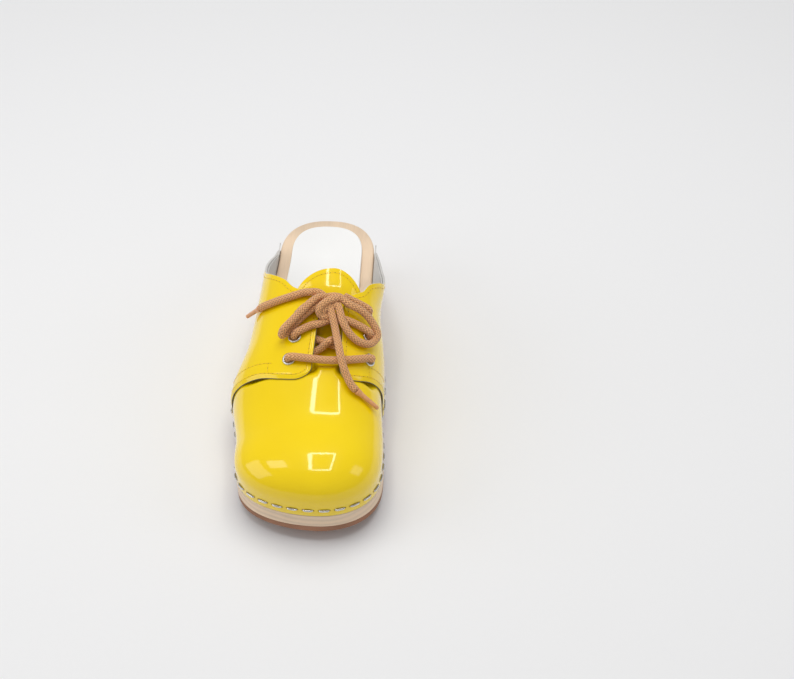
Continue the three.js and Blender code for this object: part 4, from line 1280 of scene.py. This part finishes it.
def lace_route():
    """The held stretch of the lace, from one side of the knot through all six eyelets to the other."""
    def line(*points):
        return [above(*point) for point in points]

    frames = eyelet_frames()
    middle = THROAT_MIDDLE
    left, right = middle - THROAT_WIDTH / 2 - 1.5, middle + THROAT_WIDTH / 2 + 1.5
    low, high = SEAM_STATION + LOW_CROSSING, SEAM_STATION + HIGH_CROSSING
    on, under, over = ON_QUARTER, UNDER_QUARTER, UNDER_QUARTER + LACE + 2 * FIT
    knot_outer, knot_inner = line((-0.6, 126.4, 6.5), (18.6, 131, 6))
    outer_dive = line((-1, high - 5, on), (left + 2.5, high - 3.5, on - 0.3), (middle, high - 0.5, 3.4),
                      (right - 3.5, high + 1.5, under + 1.3), (right - 1, high + 2.3, under - 0.2),
                      (right + 4, high + 4, under))
    inner_dive = line((26, high - 1.2, on), (right - 2.5, high, on - 0.3), (middle, high + 1, -1.9),
                      (left + 0.5, high + 2, under))
    low_under = line((left - 4, low + 4, under), (left, low + 3, under), (middle, low, under - 0.1),
                     (right, low - 2, under))
    low_over = line((left - 4, low - 6.5, under), (left, low - 4.5, under - 0.1),
                    (left + 3.5, low - 3, under + 1), (middle, low, over),
                    (right - 3.5, low + 3, under + 1), (right, low + 4.5, under - 0.1))
    front = SEAM_STATION + EYELET_START - 2
    bar = line((left - 3, front + 0.2, on + 0.4), (middle, front - 0.6, on - 0.4),
               (right + 3, front + 1.2, on + 0.4))
    return [knot_outer, *through(frames["outer_3"], knot_outer, inner_dive[-1]), *inner_dive[::-1],
            *through(frames["inner_2"], inner_dive[0], low_over[-1]), *low_over[::-1],
            *through(frames["outer_1"], bar[0], low_over[0])[::-1], *bar,
            *through(frames["inner_1"], bar[-1], low_under[-1]), *low_under[::-1],
            *through(frames["outer_2"], outer_dive[0], low_under[0])[::-1], *outer_dive,
            *through(frames["inner_3"], knot_inner, outer_dive[-1])[::-1], knot_inner]


def knot_lines():
    """The bow's knot: the strands of both loops and both tails pass through two turns of a wrap."""
    upper = [(1.2, 122.6, 96.4), (4.2, 125.2, 96), (8.4, 126.6, 94.6), (12.8, 127, 95),
             (16.9, 125.8, 95.6)]
    lower = [(3.5, 121.5, 92.5), (6.4, 120.4, 92.4), (9.6, 119.8, 92), (13, 119.8, 92.8),
             (15.8, 120.6, 94)]
    tails = [(-0.2, 131.2, 94.5), (2.6, 131.2, 94), (5.6, 130, 92.6), (8.4, 127.4, 91.4),
             (10, 124, 92.2), (10.2, 121, 94.1)]
    wrap = [(14.6, 127, 91.6), (15.6, 124.6, 95.2), (12.8, 122, 97.3), (9.4, 119.8, 97.6),
            (6.2, 117.4, 96.4), (4.2, 115.6, 93.6), (4.8, 114.6, 90.4), (7.8, 114.2, 88.6),
            (11, 116.4, 88.4)]
    second = [(13.6, 123.4, 90.4), (11.4, 120.4, 93.8), (8.2, 117.6, 93.6), (6.6, 115.8, 91),
              (7.6, 114.8, 88), (10.6, 115.4, 87.2), (13.2, 118.2, 88.4)]
    ends = [(-0.6, 126.4, 92.4), (4, 127.6, 91.4), (9, 128.4, 91), (14, 129.4, 91), (18.6, 129.6, 90.6)]
    return [np.array(line) for line in (upper, lower, tails, wrap, second, ends)]


def free_lace(name, points, node):
    """A free stretch of lace as a tube on its route, and the line it follows."""
    line = smooth_path(np.array(points) / MM, 0.8)
    piece = tube_object(name, [line * MM + SHIFT * MM], LACE / 2, 20, [material("braid")], 0.2)
    finish_piece(piece, "lace", node)
    return piece, place(line)


def aglet(name, points, node):
    """A lace tip: a tube that narrows to a blunt end, its radius a smooth fall from the lace's own."""
    line = smooth_path(np.array(points) / MM, 0.6)
    share = np.linspace(0, 1, len(line))
    radii = LACE / 2 * 0.96 - (LACE - AGLET) / 2 * ramp(0, 0.3, share) - 0.25 * share
    radii[0] *= 0.55
    radii[-1] *= 0.6
    closed_line = np.vstack([line[:1], line, line[-1:]])
    closed_line[0] -= unit(line[1] - line[0]) * 0.05
    closed_line[-1] += unit(line[-1] - line[-2]) * 0.2
    grid, uv = tube_grid(closed_line, np.concatenate([[1e-4], radii, [1e-4]]), 20)
    piece = new_object(name, place(grid), grid_faces(*grid.shape[:2]), [material("tip")], uv=uv)
    face_outwards(piece)
    return finish_piece(piece, "aglet", node)


# ------------------------------------------------------------------ studio

# How far the floor runs each way, in metres.
FLOOR_REACH = 8.0

# An open frame of four strip lights over the toe: name, centre, what it is turned to, width, height and
# strip in metres, and power in watts for each square metre.
LIGHT_FRAME = ("overhead_frame", (0.06, 0.02, 1.25), (0.06, -0.05, 0), 0.46, 0.66, 0.05, 28)

# Soft panels: name, place, what it is turned to, size in metres, power in watts, and whether it shows in
# the patent leather.
SOFT_PANELS = (
    ("overhead_soft", (0.0, 0.3, 1.7), (0, 0, 0), (1.6, 1.4), 13, False),
    ("left_patch", (-0.75, -0.1, 1.2), (0, 0, 0.05), (0.34, 0.42), 1.1, True),
    ("left_soft", (-1.4, -0.35, 0.7), (0, 0, 0.05), (1.0, 0.9), 4, True),
    ("right_soft", (1.4, -0.2, 0.9), (0, 0, 0.05), (0.5, 0.7), 1.5, True),
)


# ------------------------------------------------------------------ sidebar settings

class ClogFinish(bpy.types.PropertyGroup):
    """Colours of the clog's materials."""

    leather: bpy.props.FloatVectorProperty(
        name="Leather", description="Patent leather of the upper", subtype="COLOR", size=3, min=0, max=1,
        default=(1.0, 0.70, 0.0))
    lining: bpy.props.FloatVectorProperty(
        name="Lining", description="Lining leather inside the upper", subtype="COLOR", size=3, min=0, max=1,
        default=(0.66, 0.64, 0.61))
    insole: bpy.props.FloatVectorProperty(
        name="Insole", description="Sock on the footbed", subtype="COLOR", size=3, min=0, max=1,
        default=(0.93, 0.925, 0.91))
    wood: bpy.props.FloatVectorProperty(
        name="Wood", description="Wood of the sole", subtype="COLOR", size=3, min=0, max=1,
        default=(0.86, 0.66, 0.47))
    rubber: bpy.props.FloatVectorProperty(
        name="Rubber", description="Rubber of the treads", subtype="COLOR", size=3, min=0, max=1,
        default=(0.36, 0.17, 0.095))
    metal: bpy.props.FloatVectorProperty(
        name="Metal", description="Plating of the eyelets and staples", subtype="COLOR", size=3,
        min=0, max=1, default=(0.74, 0.73, 0.70))
    thread: bpy.props.FloatVectorProperty(
        name="Thread", description="Sewing thread", subtype="COLOR", size=3, min=0, max=1,
        default=(1.0, 0.64, 0.01))
    lace: bpy.props.FloatVectorProperty(
        name="Lace", description="Braided lace and its tips", subtype="COLOR", size=3, min=0, max=1,
        default=(0.82, 0.39, 0.165))
    floor: bpy.props.FloatVectorProperty(
        name="Floor", description="Studio floor", subtype="COLOR", size=3, min=0, max=1,
        default=(0.87, 0.87, 0.875))


class ClogSewing(bpy.types.PropertyGroup):
    """Sizes of the stitching."""

    pitch: bpy.props.FloatProperty(
        name="Stitch pitch", description="Distance from one stitch to the next", unit="LENGTH",
        min=0.001, max=0.01, default=0.0031)
    thread: bpy.props.FloatProperty(
        name="Thread width", description="Width of the sewing thread", unit="LENGTH",
        min=0.0002, max=0.002, default=0.00055)


class ClogStudio(bpy.types.PropertyGroup):
    """Camera and lights."""

    lens: bpy.props.FloatProperty(
        name="Lens", description="Focal length on a 36 mm sensor, in millimetres", min=10, max=300,
        default=60.12)
    position: bpy.props.FloatVectorProperty(
        name="Camera", description="Where the camera stands", subtype="XYZ", unit="LENGTH", size=3,
        default=(0.0823, -0.6168, 0.6974))
    tilt: bpy.props.FloatProperty(
        name="Tilt", description="How far the camera is raised from looking straight down", unit="ROTATION",
        default=math.radians(44))
    turn: bpy.props.FloatProperty(
        name="Turn", description="The camera's turn about the upright axis", unit="ROTATION",
        default=math.radians(2.3))
    sky: bpy.props.FloatProperty(
        name="Fill", description="Strength of the even light from all round", min=0, max=5, default=0.34)


# ------------------------------------------------------------------ operators

class CLOG_OT_stage(bpy.types.Operator):
    """Makes the camera, the pale floor and the soft studio lights"""

    bl_idname = "clog.stage"
    bl_label = "Studio"

    def area(self, name, location, target, size, power, glossy):
        """An area light turned towards a target."""
        light = bpy.data.lights.new(name, "AREA")
        light.shape = "RECTANGLE"
        light.size, light.size_y = size
        light.energy = power
        lamp = bpy.data.objects.new(name, light)
        lamp.location = location
        lamp.rotation_euler = (Vector(target) - Vector(location)).to_track_quat("-Z", "Y").to_euler()
        lamp.visible_glossy = glossy
        bpy.context.scene.collection.objects.link(lamp)

    def light_frame(self, name, centre, target, width, height, strip, power):
        """Four narrow strip lights round an open rectangle that faces the target."""
        turn = (Vector(target) - Vector(centre)).to_track_quat("-Z", "Y")
        sides = [((0, height / 2), (width, strip)), ((0, -height / 2), (width, strip)),
                 ((width / 2, 0), (strip, height)), ((-width / 2, 0), (strip, height))]
        for number, ((x, y), size) in enumerate(sides):
            where = Vector(centre) + turn @ Vector((x, y, 0))
            aim = where + turn @ Vector((0, 0, -1))
            self.area(f"{name}_{number + 1}", where, aim, size, power * size[0] * size[1], True)

    def execute(self, context):
        scene, studio = context.scene, context.scene.clog_studio
        scene.view_settings.view_transform = "Standard"
        camera = bpy.data.cameras.new("camera")
        camera.lens = studio.lens
        camera.sensor_width = 36
        camera.sensor_fit = "HORIZONTAL"
        stand = bpy.data.objects.new("camera", camera)
        stand.location = studio.position
        stand.rotation_euler = (studio.tilt, 0, studio.turn)
        scene.collection.objects.link(stand)
        scene.camera = stand
        edge = np.linspace(-FLOOR_REACH, FLOOR_REACH, 9)
        x, y = np.meshgrid(edge, edge, indexing="ij")
        ground = np.stack([x, y, np.full_like(x, -0.0002)], axis=-1)
        floor = new_object("floor", ground, grid_faces(9, 9), [material("floor")])
        flip_if_inward(floor, (0, 0, 1))
        world = bpy.data.worlds.new("studio")
        world.use_nodes = True
        world.node_tree.nodes["Background"].inputs["Color"].default_value = (1, 1, 1, 1)
        world.node_tree.nodes["Background"].inputs["Strength"].default_value = studio.sky
        scene.world = world
        for panel in SOFT_PANELS:
            self.area(*panel)
        self.light_frame(*LIGHT_FRAME)
        return {"FINISHED"}


class CLOG_OT_free_lace(bpy.types.Operator):
    """Makes the bow: two loops, two tails and their tips, and the knot"""

    bl_idname = "clog.free_lace"
    bl_label = "Bow"

    def execute(self, context):
        strands = [place(smooth_path(line, 0.7)) for line in knot_lines()]
        knot = tube_object("bow_knot", strands, LACE / 2, 20, [material("braid")])
        finish_piece(knot, "lace", "lace_knot")
        tips = {"outer": aglet("tip_outer", OUTER_AGLET, "aglet_outer"),
                "inner": aglet("tip_inner", INNER_AGLET, "aglet_inner")}
        stretches = (("tail", "outer", OUTER_TAIL, "fitting", tips["outer"]),
                     ("tail", "inner", INNER_TAIL, "fitting", tips["inner"]),
                     ("loop", "outer", OUTER_LOOP, "knot", knot),
                     ("loop", "inner", INNER_LOOP, "knot", knot))
        for kind, side, points, far_end, held in stretches:
            piece, line = free_lace(f"{kind}_{side}", points, f"lace_{kind}_{side}")
        return {"FINISHED"}


class CLOG_OT_held_lace(bpy.types.Operator):
    """Makes the stretch of lace that runs through the eyelets"""

    bl_idname = "clog.held_lace"
    bl_label = "Lacing"

    def execute(self, context):
        line = smooth_path(np.array(lace_route()), 0.7)
        piece = tube_object("lacing", [place(line)], LACE / 2, 20, [material("braid")])
        finish_piece(piece, "lace", "lace_runs")
        return {"FINISHED"}


class CLOG_OT_sole(bpy.types.Operator):
    """Makes the wooden sole"""

    bl_idname = "clog.sole"
    bl_label = "Wooden sole"

    def execute(self, context):
        finish_piece(wooden_sole(), "wood", "wooden_sole")
        return {"FINISHED"}


class CLOG_OT_treads(bpy.types.Operator):
    """Makes the rubber under the forepart and under the heel"""

    bl_idname = "clog.treads"
    bl_label = "Treads"

    def execute(self, context):
        fore = tread("tread_forepart", 0, TREAD_LENGTH, tread_low)
        heel = tread("tread_heel", HEEL_BREAST, SOLE_LENGTH, np.zeros_like)
        finish_piece(fore, "rubber", "forepart_tread")
        finish_piece(heel, "rubber", "heel_tread")
        return {"FINISHED"}


class CLOG_OT_insole(bpy.types.Operator):
    """Makes the sock in the footbed"""

    bl_idname = "clog.insole"
    bl_label = "Insole sock"

    def execute(self, context):
        finish_piece(insole_sock(), "insole", "insole_sock")
        return {"FINISHED"}


class CLOG_OT_vamp(bpy.types.Operator):
    """Makes the vamp with its tongue, and its lining"""

    bl_idname = "clog.vamp"
    bl_label = "Vamp and tongue"

    def execute(self, context):
        vamp = thicken(vamp_sheet("vamp", 0.0, 0.0, "patent"), LEATHER, 1, 0.3)
        finish_piece(vamp, "patent_leather", "vamp_and_tongue")
        lining = thicken(vamp_sheet("vamp_inside", -LEATHER - FIT, ABOVE_RIM, "lining"), LINING, 0, 0.15)
        finish_piece(lining, "lining", "vamp_lining")
        return {"FINISHED"}


class CLOG_OT_quarters(bpy.types.Operator):
    """Makes the two quarters and their linings"""

    bl_idname = "clog.quarters"
    bl_label = "Quarters"

    def execute(self, context):
        for side, name in ((-1, "outer"), (1, "inner")):
            finish_piece(quarter(side, f"side_{name}"), "patent_leather", f"quarter_{name}")
            finish_piece(quarter_lining(side, f"side_lining_{name}"), "lining", f"quarter_lining_{name}")
        return {"FINISHED"}


class CLOG_OT_stitching(bpy.types.Operator):
    """Sews the rows of stitching along the edges and the seams"""

    bl_idname = "clog.stitching"
    bl_label = "Stitching"

    def execute(self, context):
        sewing = context.scene.clog_sewing
        threads, hole_shade_groups = [], []
        for line, normals, offset in stitched_lines():
            thread, hole_shades = stitches(line, normals, offset, sewing.pitch / MM, sewing.thread / MM)
            threads.append(thread)
            hole_shade_groups.append(hole_shades)
        finish_piece(join_beads("stitching", threads, "thread"), "patent_leather")
        # Dark beads at the needle holes: painted shade.
        finish_piece(join_beads("needle_hole_shade", hole_shade_groups, "hole_shade"), "patent_leather")
        return {"FINISHED"}


class CLOG_OT_eyelets(bpy.types.Operator):
    """Sets the nickel eyelets"""

    bl_idname = "clog.eyelets"
    bl_label = "Eyelets"

    def execute(self, context):
        for name, place_frame in eyelet_frames().items():
            finish_piece(eyelet(f"ring_{name}", place_frame), "nickel", f"eyelet_{name}")
        return {"FINISHED"}


class CLOG_OT_staples(bpy.types.Operator):
    """Drives the wire staples that hold the upper to the wood"""

    bl_idname = "clog.staples"
    bl_label = "Staples"

    def execute(self, context):
        numbered, between = staple_frames()
        for number, place_frame in enumerate(numbered, start=1):
            piece = tube_object(f"wire_{number:02d}", [staple_line(place_frame)], CROWN_RADIUS, 12,
                                [material("nickel")])
            finish_piece(piece, "nickel", f"staple_{number:02d}")
        extra = tube_object("wires_between", [staple_line(f) for f in between], CROWN_RADIUS, 12,
                            [material("nickel")])
        finish_piece(extra, "nickel")
        # Dark flat beads under the staple crowns: painted shade of their slots in the leather.
        slot_shade = join_beads("staple_slot_shade", [staple_slot_shade_beads(numbered + between)], "hole_shade")
        finish_piece(slot_shade, "patent_leather")
        return {"FINISHED"}


OPERATORS = (CLOG_OT_stage, CLOG_OT_free_lace, CLOG_OT_held_lace, CLOG_OT_sole, CLOG_OT_treads,
             CLOG_OT_insole, CLOG_OT_vamp, CLOG_OT_quarters, CLOG_OT_stitching, CLOG_OT_eyelets,
             CLOG_OT_staples)


class CLOG_PT_panel(bpy.types.Panel):
    """Lists the clog's pieces and settings"""

    bl_label = "Clog"
    bl_idname = "CLOG_PT_panel"
    bl_space_type = "VIEW_3D"
    bl_region_type = "UI"
    bl_category = "Clog"

    def draw(self, context):
        scene = context.scene
        for group in (scene.clog_finish, scene.clog_sewing, scene.clog_studio):
            box = self.layout.box()
            for name in group.__annotations__:
                box.prop(group, name)
        for operator in OPERATORS:
            self.layout.operator(operator.bl_idname)


SETTINGS = {"clog_finish": ClogFinish, "clog_sewing": ClogSewing, "clog_studio": ClogStudio}


def register():
    for kind in (*SETTINGS.values(), *OPERATORS, CLOG_PT_panel):
        bpy.utils.register_class(kind)
    for name, kind in SETTINGS.items():
        setattr(bpy.types.Scene, name, bpy.props.PointerProperty(type=kind))


def unregister():
    for name in SETTINGS:
        delattr(bpy.types.Scene, name)
    for kind in (CLOG_PT_panel, *OPERATORS[::-1], *SETTINGS.values()):
        bpy.utils.unregister_class(kind)


def main():
    """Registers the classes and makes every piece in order."""
    register()
    for operator in OPERATORS:
        group, name = operator.bl_idname.split(".")
        getattr(getattr(bpy.ops, group), name)()


if __name__ == "__main__":
    main()
